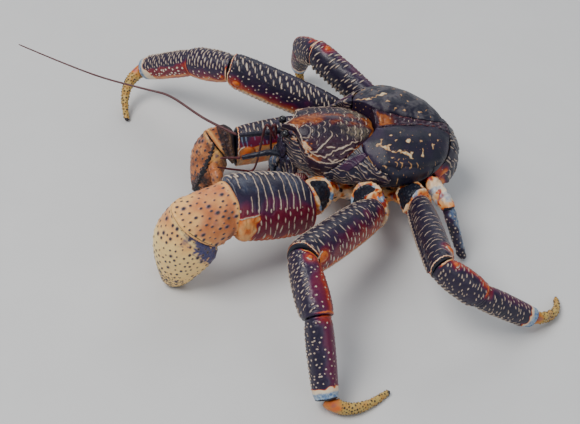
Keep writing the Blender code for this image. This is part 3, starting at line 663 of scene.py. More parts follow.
# the gill chamber covers: place, half sizes and turn of each pale splash
leftSpots = ((-20.5, -26.0, 2.2, 0.7, 20), (-18.0, -28.5, 3.4, 1.0, -38), (-14.5, -30.5, 2.4, 1.0, -60),
             (-11.5, -33.0, 2.6, 0.9, -20), (-14.0, -28.2, 1.6, 0.6, 35), (-19.0, -24.0, 1.2, 0.5, 60),
             (-6.8, -32.8, 2.4, 1.0, 12), (-3.4, -33.6, 2.6, 1.2, 6), (0.6, -35.3, 3.0, 1.5, -22),
             (2.4, -33.6, 1.2, 1.2, 60),
             (0.3, -25.3, 1.7, 1.5, 40), (1.6, -24.2, 1.2, 0.8, 40), (10.7, -32.4, 2.4, 1.1, 80),
             (11.4, -29.8, 1.6, 0.7, 80), (19.8, -24.2, 2.2, 0.8, 70), (20.6, -22.8, 1.0, 0.5, 40),
             (-11.5, -20.3, 1.1, 0.8, 0), (-8.6, -24.9, 1.0, 0.6, 0), (-4.6, -17.8, 0.9, 0.7, 0),
             (10.7, -22.9, 1.3, 0.5, 60), (19.3, -15.3, 1.5, 0.8, 70), (-12.6, -36.1, 1.0, 0.8, 0),
             (-17.2, -41.0, 0.9, 0.6, 0), (-18.5, -22.5, 0.9, 0.6, 0), (-8.0, -38.5, 0.9, 0.4, 30),
             (25.0, -18.0, 1.0, 0.5, 60), (-14.5, -38.8, 0.7, 0.5, 0), (4.5, -19.5, 0.7, 0.5, 0))
leftLines = (((-10.5, 39.2), (-9.2, 40.2), (-9.4, 41.6)),
             ((-6.8, 39.6), (-5.5, 40.2), (-5.4, 41.4), (-6.4, 42.4)),
             ((0.4, 39.4), (1.6, 40.2), (1.6, 41.4), (0.6, 42.2)), ((5.3, 38.6), (6.6, 39.4), (6.8, 40.8)),
             ((21.5, 33.5), (23.0, 35.4)))
rightSpots = ((-26.5, 20.6, 4.0, 0.7, -18), (-21.5, 19.0, 2.6, 1.2, -14), (-16.6, 19.6, 2.2, 0.7, 12),
              (-12.0, 21.3, 3.2, 1.2, 0), (-9.0, 22.4, 2.4, 1.4, 20), (-7.6, 14.3, 1.6, 0.7, 0),
              (8.2, 16.3, 1.4, 0.8, 60), (3.6, 8.2, 1.1, 0.6, 0), (16.1, 8.6, 1.6, 0.7, 0),
              (-3.0, 9.1, 1.0, 0.5, 0), (15.1, 4.4, 0.9, 0.5, 0), (-21.3, 36.0, 1.6, 0.45, 40),
              (-16.2, 30.4, 1.5, 0.45, 40), (-0.3, 30.5, 1.8, 0.45, 30), (4.0, 22.4, 1.7, 0.6, 60),
              (16.9, 22.3, 1.5, 0.5, 60), (22.0, 12.0, 1.2, 0.45, 80), (24.5, 6.0, 1.1, 0.5, 80),
              (-24.0, 28.5, 1.3, 0.45, 20), (-7.0, 36.0, 1.8, 0.45, 30), (9.0, 30.0, 1.5, 0.45, 40),
              (-27.0, 33.0, 1.0, 0.4, 10), (-12.0, 27.0, 1.2, 0.4, 50), (2.0, 34.5, 1.3, 0.4, 35))
domePlan = dict(
    skin=dict(grain=0.6, relax=2, facets=260), splashes=dict(left=leftSpots, right=rightSpots),
    grey=dict(left=0.14, right=0.56), lines=leftLines, lineHalf=0.36, lip=dict(place=0.8, half=0.34),
    dots=dict(rowGap=3.4, colGap=3.6, halfLength=0.1, halfWidth=0.30, loose=0.95, fill=0.34),
    lobe=dict(along=(8.0, -12.0), out=(27.0, 36.0)),
    lobeDots=dict(rowGap=3.4, colGap=3.6, halfLength=0.2, halfWidth=0.36, loose=0.9, fill=0.4),
    wall=dict(below=30.0, gap=3.6, dotHalf=0.42, seed=44, black=0.36),
    warmth=dict(base=0.02, edge=0.10, inner=0.07),
    fold=((-16, 41), (-8, 43.5), (0, 42.2), (8, 40.6), (15, 38.3), (28, 30)), foldDepth=0.75, foldLip=0.35,
    swell=0.16, grain=0.035)


def domeMarks(u, v, r, sign, rim, lobe, spots, fine, other):
    plan = domePlan
    mark = blotches(u + 0.5 * fine, v + 0.5 * other, spots, 0.06)
    dots = dashes(u, v, seed=40.0 + sign, **plan["dots"])
    mark = np.maximum(mark, np.where(rim > 2.5, dots, noDash))
    for route in plan["lines"]:
        mark = np.maximum(mark, stroke(u + 0.3 * fine, r, route, plan["lineHalf"]))
    lip = plan["lip"]["half"] - np.abs(rim - plan["lip"]["place"])
    return np.maximum(mark, np.where(lobe > 0.4, lip, noMark))


def carveDome(side, sign):
    plan = domePlan
    skin = Skin(f"carapace_branchial_{side}", **plan["skin"])
    u, v, w = skin.trunkPlace().T
    r = v * sign
    way = skin.trunkWay()
    top = (way[:, 2] > 0.25) | (r > 36) & (way[:, 1] * sign > 0.2) & (w > -14)
    rim = skin.rimDistance(top)
    flat = np.stack((u, v), axis=1)
    drift = ripple(flat, 12.0, 12 + sign)
    fine, other = ripple(flat, 3.6, 33 + sign), ripple(flat, 3.6, 43 + sign)
    lobe = ease(*plan["lobe"]["along"], u) * ease(*plan["lobe"]["out"], r)
    wall = plan["wall"]
    away, luck = scatter(skin.points, wall["gap"], wall["seed"], ~top & (r < wall["below"]))
    mark = domeMarks(u, v, r, sign, rim, lobe, plan["splashes"][side], fine, other)
    mark = np.where(top, mark, wall["dotHalf"] * (0.5 + 0.7 * luck) - away)
    skin.set("mark", mark)
    skin.most("mark", np.where(top & (lobe > 0.3), dashes(u, v, **plan["lobeDots"]), noMark))
    # a grey bloom, stronger on the far cover
    skin.set("blue", plan["grey"][side] * ease(-2.2, 1.6, drift + 0.7 * fine) * top)
    edge = ease(9.0, 2.0, rim) * ease(-4.0, -26.0, u)
    inner = ease(14.0, 6.0, r) * ease(20, -8, u)
    warmth = plan["warmth"]
    skin.set("warm", warmth["base"] + warmth["edge"] * edge + warmth["inner"] * inner + 0.04 * drift)
    skin.set("black", np.where(top, 0.0, wall["black"] * ease(40.0, 34.0, r)))
    skin.height += 0.10 * ease(-0.3, 0.3, mark) * top
    swell, grain = plan["swell"] * ripple(skin.points, 15.0, 17), plan["grain"] * ripple(skin.points, 4.5, 18)
    skin.height += (swell + grain) * ease(0, 5, rim)
    # a long fold along the outer side
    fold = stroke(u, r + 0.5 * drift, plan["fold"], 0.5)
    skin.height -= plan["foldDepth"] * ease(-1.0, 0.4, fold) * top
    skin.height += plan["foldLip"] * bell(fold + 2.0, 0.9) * top
    skin.finish(paints["domeShell"], "shell_dark", False)


cardiacPlan = dict(
    skin=dict(grain=0.5, relax=2, facets=60), base=0.22, front=0.45, rearRim=0.18, wallWarm=0.15,
    bits=dict(rowGap=5.0, colGap=3.4, halfLength=0.9, halfWidth=0.32, loose=0.8, fill=0.45, seed=5.0),
    stripe=dict(out=3.2, half=0.9, black=0.9, reach=(4.0, 9.0)), waves=0.30, rimDrop=0.5)


def carveCardiac():
    plan = cardiacPlan
    skin = Skin("carapace_cardiac", **plan["skin"])
    u, v = skin.trunkPlace().T[:2]
    top = skin.trunkWay()[:, 2] > 0.5
    rim = skin.rimDistance(top)
    drift = ripple(np.stack((u, v), axis=1), 4.0, 4)
    front = ease(-1.0, -9.0, u + drift)
    warm = plan["base"] + plan["front"] * front * ease(0.8, 3.2, rim + 0.5 * drift)
    warm += plan["rearRim"] * ease(1.8, 0.6, rim) * (1 - front)
    skin.set("warm", np.where(top, warm + 0.05 * drift, plan["wallWarm"]))
    skin.set("mark", np.where(top & (u > -8) & (rim > 0.6), dashes(u, v, **plan["bits"]), noMark))
    skin.height += plan["waves"] * drift * top - plan["rimDrop"] * ease(1.6, 0.0, rim) * top
    stripe = plan["stripe"]
    dark = stripe["black"] * bell(v + stripe["out"] + 0.5 * drift, stripe["half"]) * ease(*stripe["reach"], u)
    skin.set("black", np.where(top, dark, 0.0))
    skin.finish(paints["shieldShell"], "shell_brown", False)


# the flanks are wrapped in fine wavy ridges, which bow out round a swirl
flankPlan = dict(
    skin=dict(grain=0.5, relax=2, facets=60), rows=dict(gap=1.95, halfWidth=0.24, broken=0.27, cell=5.5),
    bow=dict(place=-50.0, amount=0.0035), swirl=dict(place=(-25.0, -6.0), radius=9.0, push=2.2),
    plate=dict(place=(-39.0, 31.3), half=(9.5, 2.7), warm=0.17, lift=0.6),
    brow=dict(along=(-66.0, -71.0), up=(-10.0, -4.0), warm=0.85), base=0.05, lift=0.45)


def carveFlank(side, sign):
    plan = flankPlan
    skin = Skin(f"carapace_flank_{side}", **plan["skin"])
    u, v, w = skin.trunkPlace().T
    r = v * sign
    flat = np.stack((u, w), axis=1)
    drift, fine = ripple(flat, 11.0, 51 + sign), ripple(flat, 3.5, 61)
    # a smooth plate at the upper edge
    (place, out), (halfLength, halfWidth) = plan["plate"]["place"], plan["plate"]["half"]
    away = np.hypot((u - place) / halfLength, (r - out + 0.08 * (u - place)) / halfWidth)
    plate = ease(1.2, 0.9, away) * (w > -6)
    along = w + plan["bow"]["amount"] * (u - plan["bow"]["place"]) ** 2 + 1.0 * drift + 0.30 * fine
    place, down = plan["swirl"]["place"]
    along += plan["swirl"]["push"] * bell(np.hypot(u - place, w - down), plan["swirl"]["radius"])
    mark = ridges(along, u, wave=0.0, seed=2.0 + sign, **plan["rows"])
    skin.set("mark", np.where(plate < 0.4, mark, mark - 0.35))
    brow = ease(*plan["brow"]["along"], u) * ease(0.9, 1.4, fine + 0.1 * w) * ease(*plan["brow"]["up"], w)
    tone = plan["base"] + plan["plate"]["warm"] * plate + 0.04 * drift + plan["brow"]["warm"] * brow
    skin.set("warm", tone)
    skin.height += plan["lift"] * ease(-0.6, 0.35, skin.masks["mark"]) + plan["plate"]["lift"] * plate
    skin.finish(paints["limbShell"], "shell_dark", False)


carveShield()
for side, sign in (("left", -1), ("right", 1)):
    carveDome(side, sign)
    carveFlank(side, sign)
carveCardiac()
print("carapace carved")


# a knuckle is a low ochre dome with a red glow round it and a pale curl on its far upper side
knucklePlan = dict(height=1.1, moat=0.5, glowWarm=0.62, warm=0.78, curlHalf=0.5, curlLift=0.5)


def condyle(skin, alongPlace, anglePlace, radius, glow, curled=True):
    plan = knucklePlan
    across = (np.abs(skin.turn) - math.radians(anglePlace)) * skin.radius
    beyond = skin.along - alongPlace
    away = np.hypot(beyond, across)
    inside = ease(radius + 0.5, radius - 1.0, away)
    skin.height += plan["height"] * ease(radius, 0.0, away) - plan["moat"] * bell(away - radius - 0.6, 0.8)
    skin.blend("warm", plan["glowWarm"], 0.85 * ease(radius + glow, radius, away))
    skin.blend("warm", plan["warm"] - 0.10 * ease(radius, 0.0, away), inside)
    way = np.arctan2(-across, beyond)
    curl = plan["curlHalf"] - np.abs(away - radius - 0.2)
    curl = np.where((way > -0.4) & (way < 1.5) & curled, curl, noMark)
    skin.over("mark", curl, away < radius + 1.2)
    skin.height += plan["curlLift"] * ease(-0.5, 0.4, curl)


def cuffs(skin, nearRim=1.0, farRim=1.0, rimWidth=0.8, below=0.0, dark=(1.0, 1.0)):
    # the closing flats carry dark membrane, and a thin pale lip runs round each of them; below is
    # the angle from the crest where the lip starts
    for gap, tone, share in ((skin.nearGap, nearRim, dark[0]), (skin.farGap, farRim, dark[1])):
        lip = ease(0.1, 0.35, gap) * ease(rimWidth + 0.35, rimWidth, gap)
        lip *= ease(below - 30.0, below + 10.0, skin.degrees)
        skin.blend("warm", tone, lip)
        skin.over("mark", noMark, gap < rimWidth + 0.3)
        skin.most("black", share * ease(0.3, 0.0, gap))
        skin.height += 0.3 * lip * skin.side - 0.35 * bell(gap - rimWidth - 1.1, 0.6) * skin.side


def bandMarks(skin, plan, across, wave):
    # the rows of dashes, dots or long ridges that run round the limb between two angles
    across = across + np.where(skin.turn > 0, 0.0, 50.0)
    marks = np.full(len(across), noMark)
    for low, high, settings in plan["bands"]:
        band = dashes(skin.along + 0.6 * wave, across, seed=plan["seed"] + low, **settings)
        marks = np.maximum(marks, np.where((skin.degrees > low) & (skin.degrees < high), band, noMark))
    for low, high, settings in plan.get("ridges", ()):
        wavy = 0.07 * wave + 0.025 * ripple(skin.points, 5.0, plan["seed"] + 2)
        band = ridges(skin.along + skin.inward, across, wave=wavy, seed=plan["seed"], **settings)
        marks = np.maximum(marks, np.where((skin.degrees > low) & (skin.degrees < high), band, noMark))
    return marks


def limbMarks(skin, plan):
    across = np.abs(skin.turn) * skin.radius
    wave = ripple(skin.points, 14.0, plan["seed"])
    marks = bandMarks(skin, plan, across, wave)
    inner = np.minimum(skin.nearGap - plan["ends"][0], skin.farGap - plan["ends"][1]) > 0
    skin.height += plan["lift"] * ease(-0.5, 0.4, marks) * np.maximum(skin.side, skin.inward > 0) * inner
    skin.height -= 0.22 * ease(-1.8, -0.6, marks) * skin.side * inner
    # teeth along the crest, and lower ones along the keel
    step, reach = plan["teeth"], plan["toothReach"]
    down = (np.modf(skin.along / step)[0] - 0.5) * step
    if reach:
        teeth = 0.66 - np.hypot(down + 0.05 * across ** 2 / reach, np.maximum(across - reach, 0.0))
        skin.height += plan["toothLift"] * ease(-0.5, 0.3, teeth) * skin.side * inner
        marks = np.maximum(marks, teeth)
    if plan.get("keel"):
        keel = 0.60 - np.hypot(down, np.maximum((math.pi - np.abs(skin.turn)) * skin.radius - 2.0, 0.0))
        skin.height += plan["keel"] * ease(-0.5, 0.3, keel) * skin.side * inner
        marks = np.maximum(marks, keel)
    skin.set("mark", np.where(inner, marks, noMark))
    start, full, amount = plan["warm"]
    warm = ease(start, full, skin.degrees + 12.0 * wave) * amount
    warm *= 1.0 - plan["fade"] * skin.along / skin.length
    skin.set("warm", plan["base"] + warm)
    if "edge" in plan:
        # a line of fire along the lower margin
        place, width, tone = plan["edge"]
        skin.blend("warm", tone, 0.9 * bell(skin.degrees - place + 5.0 * wave, width))
    skin.blend("warm", 0.90, ease(160.0, 172.0, skin.degrees + 4.0 * wave) * plan["paleKeel"])


dash = dict(rowGap=4.4, colGap=6.5, halfLength=1.9, halfWidth=0.56, bend=0.03, tilt=0.3, loose=0.35, fill=0.9)
longDash = dict(rowGap=5.2, colGap=6.5, halfLength=2.7, halfWidth=0.80, bend=0.02, tilt=0.25, loose=0.35,
                fill=0.9)
scale = dict(rowGap=4.0, colGap=7.0, halfLength=2.7, halfWidth=0.42, bend=-0.08, loose=0.4, fill=0.95)
rib = dict(rowGap=3.5, colGap=6.0, halfLength=1.9, halfWidth=0.66, bend=0.05, tilt=0.45, loose=0.18, fill=1.0)
dot = dict(rowGap=4.2, colGap=4.8, halfLength=0.25, halfWidth=0.80, loose=0.75, fill=0.75)
fineDot = dict(rowGap=3.0, colGap=3.4, halfLength=0.5, halfWidth=0.62, loose=0.7, fill=0.8)
fleckDash = dict(rowGap=3.0, colGap=3.6, halfLength=1.0, halfWidth=0.5, bend=0.1, tilt=0.4, loose=0.7,
                 fill=0.8)
comb = dict(rowGap=2.9, colGap=6.0, halfLength=2.2, halfWidth=0.55, bend=0.02, tilt=0.1, loose=0.15, fill=1.0)
# bands and ridges: from which angle to which, away from the crest; warm: the same and how warm;
# ends: how near the marks come to the closing flats; edge: angle, width and tone of the fire line
legPlans = {
    "merus": dict(teeth=3.4, toothReach=3.4, toothLift=1.0, keel=0.6, lift=0.5, ends=(2.0, 1.2),
                  bands=((18, 62, dict(dash, rowGap=3.6, colGap=5.0, halfLength=1.3)), (62, 112, dash),
                         (112, 168, longDash)),
                  warm=(60.0, 132.0, 0.58), fade=0.34, base=0.05, paleKeel=0.5),
    "carpus": dict(teeth=3.6, toothReach=3.0, toothLift=0.8, lift=0.45, ends=(1.5, 1.2),
                   bands=((0, 90, fleckDash), (80, 180, dot)), warm=(80.0, 125.0, 0.28), fade=-0.1, base=0.10,
                   paleKeel=0.0, edge=(146.0, 15.0, 0.66)),
    "propodus": dict(teeth=3.6, toothReach=2.0, toothLift=0.6, lift=0.45, ends=(1.5, 7.0),
                     bands=((0, 80, fineDot), (70, 180, dot)), warm=(66.0, 108.0, 0.31), fade=0.1, base=0.07,
                     paleKeel=0.0)}
scaleMerus = dict(legPlans["merus"], bands=((16, 180, dict(scale, rowGap=5.0, halfWidth=0.36, fill=0.85)),),
                  warm=(110.0, 170.0, 0.16), teeth=4.4, toothReach=2.0, toothLift=1.5, fade=-0.6,
                  paleKeel=0.0, keel=0.4)
fleckCarpus = dict(legPlans["carpus"], bands=((0, 180, fleckDash),), warm=(120.0, 170.0, 0.35))
ribMerus = dict(legPlans["merus"], bands=((0, 46, dict(dash, fill=0.6, halfLength=0.9)), (46, 92, rib),
                                          (98, 150, dict(dot, halfWidth=0.95))),
                warm=(96.0, 172.0, 0.60), fade=0.0, paleKeel=1.0, toothReach=0.0)
combCarpus = dict(legPlans["carpus"], bands=((0, 110, comb), (112, 165, dict(dot, halfWidth=1.0))),
                  warm=(98.0, 160.0, 0.34), fade=0.0, edge=(168.0, 13.0, 0.86))
combPropodus = dict(combCarpus, bands=((0, 88, comb), (92, 165, dict(dot, halfWidth=1.7, fill=1.0))),
                    warm=(82.0, 100.0, 0.38), ends=(1.5, 8.0))
duskPropodus = dict(legPlans["propodus"], bands=((0, 180, dict(fleckDash, rowGap=3.4)),),
                    warm=(100.0, 150.0, 0.22))
darkScale = dict(scaleMerus, bands=((0, 180, dict(dash, rowGap=4.2, colGap=6.0)),), warm=(100.0, 150.0, 0.2))
limbSkin = dict(grain=0.55, rounds=2, relax=3)
cuffPlans = dict(
    merus=dict(), carpus=dict(nearRim=0.95, farRim=0.72, rimWidth=1.1, below=100.0, dark=(1.0, 0.45)),
    propodus=dict(nearRim=0.68, farRim=0.5, rimWidth=0.8, below=100.0, dark=(0.45, 1.0)))
knuckles = dict(beforeEnd=7.5, glow=5.5, curledFrom=4.0, carpusPlace=4.0, carpusTurn=-4.0, carpusShare=0.42)
chain = ("base", "merus", "carpus", "propodus", "dactyl")


def propodusTip(skin, style):
    # the cream and pale blue end beside the tip, which reaches further up underneath
    under = ease(70.0, 130.0, skin.degrees)
    wave = ripple(skin.points, 6.0, 5)
    band = ease(8.0, 6.8, skin.farGap + 1.0 * wave - style["creamUnder"] * under)
    skin.blend("warm", 0.97, band)
    skin.over("mark", noMark, band > 0.4)
    skin.set("blue", 1.4 * bell(skin.farGap - 2.2, 1.3 + 0.8 * style["tipBlue"]) * (skin.farGap > 0.4))
    skin.most("black", ease(0.9, 0.5, skin.farGap))
    glow = ease(7.0, 2.0, skin.nearGap + ripple(skin.points, 8.0, 9)) * 0.7
    skin.blend("warm", 0.62, glow * ease(60, 110, skin.degrees))


def carveLength(leg, part, joints, style, seed):
    plan = dict(style.get(part, legPlans[part]), seed=seed)
    skin = Skin(f"{leg}_{part}", joints=(*joints, style["side"]), **limbSkin)
    skin.plump(0.03)
    limbMarks(skin, plan)
    cuffs(skin, **cuffPlans[part])
    boss = style["boss"]
    if part == "merus":
        condyle(skin, skin.length - knuckles["beforeEnd"], style["knuckle"], boss, knuckles["glow"],
                boss > knuckles["curledFrom"])
    elif part == "carpus":
        condyle(skin, knuckles["carpusPlace"], style["knuckle"] + knuckles["carpusTurn"],
                knuckles["carpusShare"] * boss, boss)
    else:
        propodusTip(skin, style)
    skin.finish(paints["limbShell"], "limb_dark")


dactylPlan = dict(skin=dict(grain=0.42, rounds=2, relax=3), gap=1.75, dotHalf=0.62, spine=0.65, fat=0.2,
                  bare=(3.5, 1.5), base=0.15, rootWarm=0.7, rootBlue=0.45, clawTip=(3.5, 0.5))


def carveDactyl(node, start, end):
    plan = dactylPlan
    skin = Skin(node, joints=(start, end, 1.0), **plan["skin"])
    skin.height += plan["fat"] * skin.side
    clear = (skin.along > plan["bare"][0]) & (skin.along < skin.length - plan["bare"][1])
    away, luck = scatter(skin.points, plan["gap"], 5, clear)
    mark = np.where(clear, plan["dotHalf"] * (0.6 + 0.7 * luck) - away, noMark)
    skin.set("mark", mark)
    skin.height += plan["spine"] * ease(-0.5, 0.5, mark)
    patches = ease(0.3, 1.2, ripple(skin.points, 8.0, 4))
    skin.set("blue", plan["rootBlue"] * patches * ease(skin.length * 0.6, 6.0, skin.along))
    root = ease(6.0, 1.0, skin.along)
    skin.set("warm", plan["base"] + plan["rootWarm"] * root + 0.15 * ripple(skin.points, 6.0, 2))
    low, high = plan["clawTip"]
    skin.set("black", 0.9 * ease(skin.length - low, skin.length - high, skin.along))
    skin.finish(paints["dactylShell"], "dactyl_ochre")


# the pale, ridged leg root with a dark membrane let into its upper side, within a lip and a red ring;
# places run back from the joint with the next length
coxaPlan = dict(skin=dict(grain=0.55, rounds=1, relax=4, facets=20), crest=(0.1, 0.0, 1.0),
                membrane=dict(place=10.0, turn=0.8, radius=7.6, soft=0.6, depth=1.6),
                lip=dict(radius=8.6, pale=8.4, height=1.3),
                ring=dict(radius=10.4, warm=0.66), collar=dict(place=2.0, height=0.8),
                groove=dict(place=4.2, depth=0.7, black=0.8), warm=0.95, red=0.36, blue=0.8)


def carveCoxa(node, start, end, seed):
    plan = coxaPlan
    skin = Skin(node, joints=(start, end, plan["crest"]), **plan["skin"])
    wave, fine = ripple(skin.points, 10.0, 90 + seed), ripple(skin.points, 3.0, 93 + seed)
    rest = skin.length - skin.along
    red = ease(-0.4, 0.9, ripple(skin.points, 8.0, 97 + seed) + 0.4 * fine)
    skin.set("warm", plan["warm"] - plan["red"] * red)
    skin.set("blue", plan["blue"] * ease(0.2, 1.0, ripple(skin.points, 10.0, 111 + seed) + 0.2 * fine))
    membrane, lip, ring = plan["membrane"], plan["lip"], plan["ring"]
    across = (skin.turn - membrane["turn"]) * skin.radius * 0.62
    away = np.hypot((rest - membrane["place"]) * 0.8, across)
    skin.set("black", ease(membrane["radius"], membrane["radius"] - membrane["soft"], away + 0.5 * wave))
    skin.height += lip["height"] * bell(away - lip["radius"], 1.0) - membrane["depth"] * ease(7.8, 5.0, away)
    skin.blend("warm", 0.95, 0.85 * bell(away - lip["pale"], 0.7))
    skin.blend("warm", ring["warm"], bell(away - ring["radius"], 1.0) * 0.8)
    collar, groove = plan["collar"], plan["groove"]
    rise, drop = bell(rest - collar["place"], 1.0), bell(rest - groove["place"], 0.8)
    skin.height += collar["height"] * rise * skin.side - groove["depth"] * drop * skin.side
    skin.most("black", groove["black"] * bell(rest - groove["place"], 0.5) * (skin.side > 0.5))
    skin.height += 0.3 * fine * skin.side
    skin.finish(paints["limbShell"], "joint_cream")


def carveLeg(leg, style):
    joints = [None] + [meeting(f"{leg}_{a}", f"{leg}_{b}") for a, b in zip(chain, chain[1:])]
    joints[0] = farEnd(f"{leg}_base", joints[1])
    joints.append(farEnd(f"{leg}_dactyl", joints[4], 5))
    for number, (part, start, end) in enumerate(zip(chain, joints, joints[1:])):
        if part == "base":
            carveCoxa(f"{leg}_base", start, end, style["seed"])
        elif part == "dactyl":
            carveDactyl(f"{leg}_dactyl", start, end)
        else:
            carveLength(leg, part, (start, end), style, len(leg) + 3 * number + style["seed"])


# side: which side of the limb the crest is on; knuckle: its angle from the crest; boss: its radius
legStyles = {
    "leg2_left": dict(seed=1, side=1.0, knuckle=118.0, boss=4.6, tipBlue=1.0, creamUnder=0.0),
    "leg3_left": dict(seed=2, side=1.0, knuckle=140.0, boss=4.2, tipBlue=2.2, creamUnder=0.0,
                      merus=scaleMerus, carpus=fleckCarpus, propodus=duskPropodus),
    "leg2_right": dict(seed=3, side=1.0, knuckle=150.0, boss=3.2, tipBlue=1.6, creamUnder=6.0,
                       merus=ribMerus, carpus=combCarpus, propodus=combPropodus),
    "leg3_right": dict(seed=4, side=-1.0, knuckle=130.0, boss=2.4, tipBlue=1.4, creamUnder=0.0,
                       merus=darkScale, carpus=fleckCarpus, propodus=duskPropodus)}
for leg, style in legStyles.items():
    carveLeg(leg, style)
    print(leg, "carved")


bigMerusPlan = dict(
    teeth=4.6, toothReach=4.0, toothLift=0.9, keel=0.5, lift=0.5, ends=(1.6, 1.6), seed=5,
    ridges=((8, 104, dict(gap=5.6, halfWidth=0.46, broken=0.18, cell=12.0)),),
    bands=((98, 170, dict(longDash, rowGap=5.0, colGap=6.0, halfLength=2.0, halfWidth=0.6, tilt=0.1)),),
    warm=(45.0, 120.0, 0.40), fade=0.0, base=0.06, paleKeel=0.5,
    cuffs=dict(nearRim=0.72, farRim=1.0, rimWidth=0.7), topBlue=(0.27, 80.0, 45.0), stretch=(1.6, 12.0))
backMerusPlan = dict(
    bigMerusPlan, ridges=(), toothReach=0.0, keel=0.0, paleKeel=0.0, warm=(60.0, 90.0, 0.35),
    bands=((16, 58, dict(comb, rowGap=3.4, colGap=9.0, halfLength=3.4)),),
    cuffs=dict(nearRim=0.72, farRim=0.93, rimWidth=0.9),
    streaks=dict(gap=3.0, halfWidth=0.5, broken=0.35, cell=30.0, seed=3.0), streakBlue=0.55, crestWarm=0.30,
    lower=(104.0, 114.0), lowerWarm=0.83, lowerBlack=0.43, knuckle=(8.0, 132.0, 6.0, 2.0))
# the ochre corner that carries the hinge of the big claw's wrist
cornerPlan = dict(angle=122.0, length=11.0, warm=0.83, crestReach=14.5, crestHalf=0.5, lift=0.8,
                  crestLift=0.5)


def clawCorner(skin):
    plan = cornerPlan
    below = (skin.degrees - plan["angle"]) * math.pi / 180 * skin.radius
    gap = skin.farGap
    wave = ripple(skin.points, 7.0, 3)
    inside = np.minimum(below + 0.22 * gap, plan["length"] - 0.35 * below - gap + 0.9 * wave)
    share = ease(-1.2, 0.9, inside)
    skin.blend("warm", plan["warm"] + 0.06 * wave, share)
    crest = plan["crestHalf"] - np.abs(below + 0.22 * gap + 0.3 * wave)
    crest = np.where(gap < plan["crestReach"], crest, noMark)
    skin.over("mark", crest, share > 0.15)
    skin.height += plan["lift"] * ease(0.0, 4.0, inside) + plan["crestLift"] * ease(-0.6, 0.4, crest)


grainPlan = dict(gap=1.6, radius=0.72, lift=0.4)


def clawSpots(skin, seed, gap, radius, tipward):
    # dark spots strewn over the claw, longer along it, and black grains crowded at its tip
    longer = skin.points - 0.3 * (skin.points @ skin.axis)[:, None] * skin.axis
    clear = (skin.nearGap > 2.0) & ((skin.farGap > 1.4) | (tipward > 0.0))
    away, luck = scatter(longer, gap, seed, clear)
    mark = radius * (0.65 + 0.6 * luck) - away
    skin.set("blue", 0.62 * ease(0.72, 0.9, luck) * ease(2.8, 0.6, away) * clear)
    if tipward.max() > 0.5:
        away, luck = scatter(skin.points, grainPlan["gap"], seed + 1, tipward > 0.05)
        thin = 1.2 * ease(0.75, 0.15, tipward + 0.5 * (luck - 0.5))
        mark = np.maximum(mark, grainPlan["radius"] * (0.6 + 0.6 * luck) - away - thin)
    skin.set("mark", np.where(clear, mark, noMark))
    skin.height += grainPlan["lift"] * ease(-0.6, 0.4, mark) * clear


def clawSeam(skin, gap):
    # a dark groove with a beige lip where the wrist meets the hand or the upper arm
    skin.blend("warm", 0.25, bell(gap - 1.8, 1.3) * 0.8)
    skin.height += 0.6 * bell(gap - 1.8, 1.2) * skin.side
    skin.most("black", ease(0.4, 0.1, gap))


def bigMerus(skin, plan):
    kept = skin.farGap
    # the ridges run on over the edge of the far flat
    skin.farGap = np.full(len(kept), noFlat)
    skin.inward = skin.rimDistance((skin.normals @ skin.axis > 0.5) & (skin.along > skin.length / 2))
    limbMarks(skin, plan)
    cuffs(skin, **plan["cuffs"])
    skin.farGap = kept
    amount, start, full = plan["topBlue"]
    skin.set("blue", amount * ease(start, full, skin.degrees))
    clawCorner(skin)
    length, span = plan["stretch"]
    skin.reachOut(0.0, length, span)


def backMerus(skin, plan):
    limbMarks(skin, plan)
    cuffs(skin, **plan["cuffs"])
    wave = ripple(skin.points, 9.0, 5)
    within = ease(0.1, 0.5, skin.farGap)
    streaks = ridges(skin.along, skin.degrees, wave=0.1 * wave, **plan["streaks"])
    hollow = ease(58.0, 64.0, skin.degrees) * ease(112.0, 102.0, skin.degrees)
    skin.blend("blue", plan["streakBlue"], hollow * ease(-0.6, 0.5, streaks) * within)
    # painted shade: the lower side turns tan, and the black laid over it gives partly its brown and partly
    # the shade it lies in
    lower = ease(*plan["lower"], skin.degrees + 3 * wave) * within
    skin.blend("warm", plan["lowerWarm"] + 0.07 * wave, lower)
    skin.most("black", (plan["lowerBlack"] + 0.06 * wave) * lower)
    skin.blend("warm", plan["crestWarm"], ease(20.0, 8.0, skin.degrees) * within)
    beforeEnd, angle, radius, glow = plan["knuckle"]
    condyle(skin, skin.length - beforeEnd, angle, radius, glow)


# the wrist: places across and up its broad face
bigWristPlan = dict(
    plump=0.03, swell=(0.05, 9.0), stretch=(2.5, 0.0, 5.0), spots=dict(seed=11, gap=3.3, radius=0.90),
    warmth=dict(base=0.70, left=-0.30, right=0.14), cloud=(6.0, -7.0), cloudBlue=0.34, topBlue=0.16,
    grooveBlack=0.7)
backWristPlan = dict(
    plump=0.03, spots=dict(seed=11, gap=3.3, radius=0.90), warm=0.80, plateBlack=0.62, lineBlue=0.7,
    corner=dict(up=9.5, slope=0.6, drawDown=0.60, drawOut=0.36),
    lines=dict(gap=4.2, halfWidth=0.42, broken=0.2, cell=8.0, seed=3.0))


def bigWrist(skin, plan):
    skin.swell(*plan["swell"])
    skin.reachOut(*plan["stretch"])
    wave = ripple(skin.points, 12.0, 131)
    clawSpots(skin, tipward=np.zeros(len(wave)), **plan["spots"])
    x, y = skin.facePlace()
    warmth = plan["warmth"]
    warm = warmth["base"] + 0.10 * wave + warmth["left"] * ease(0.0, -14.0, x)
    skin.set("warm", warm + warmth["right"] * ease(8.0, 15.0, x))
    across, up = plan["cloud"]
    cloud = plan["cloudBlue"] * ease(5.0, 1.0, np.hypot(x - across, y - up) + wave)
    skin.most("blue", cloud + plan["topBlue"] * ease(0.0, 10.0, y))
    skin.most("black", plan["grooveBlack"] * bell(skin.farGap - 1.6, 0.5) * ease(-4.0, 2.0, x - y))


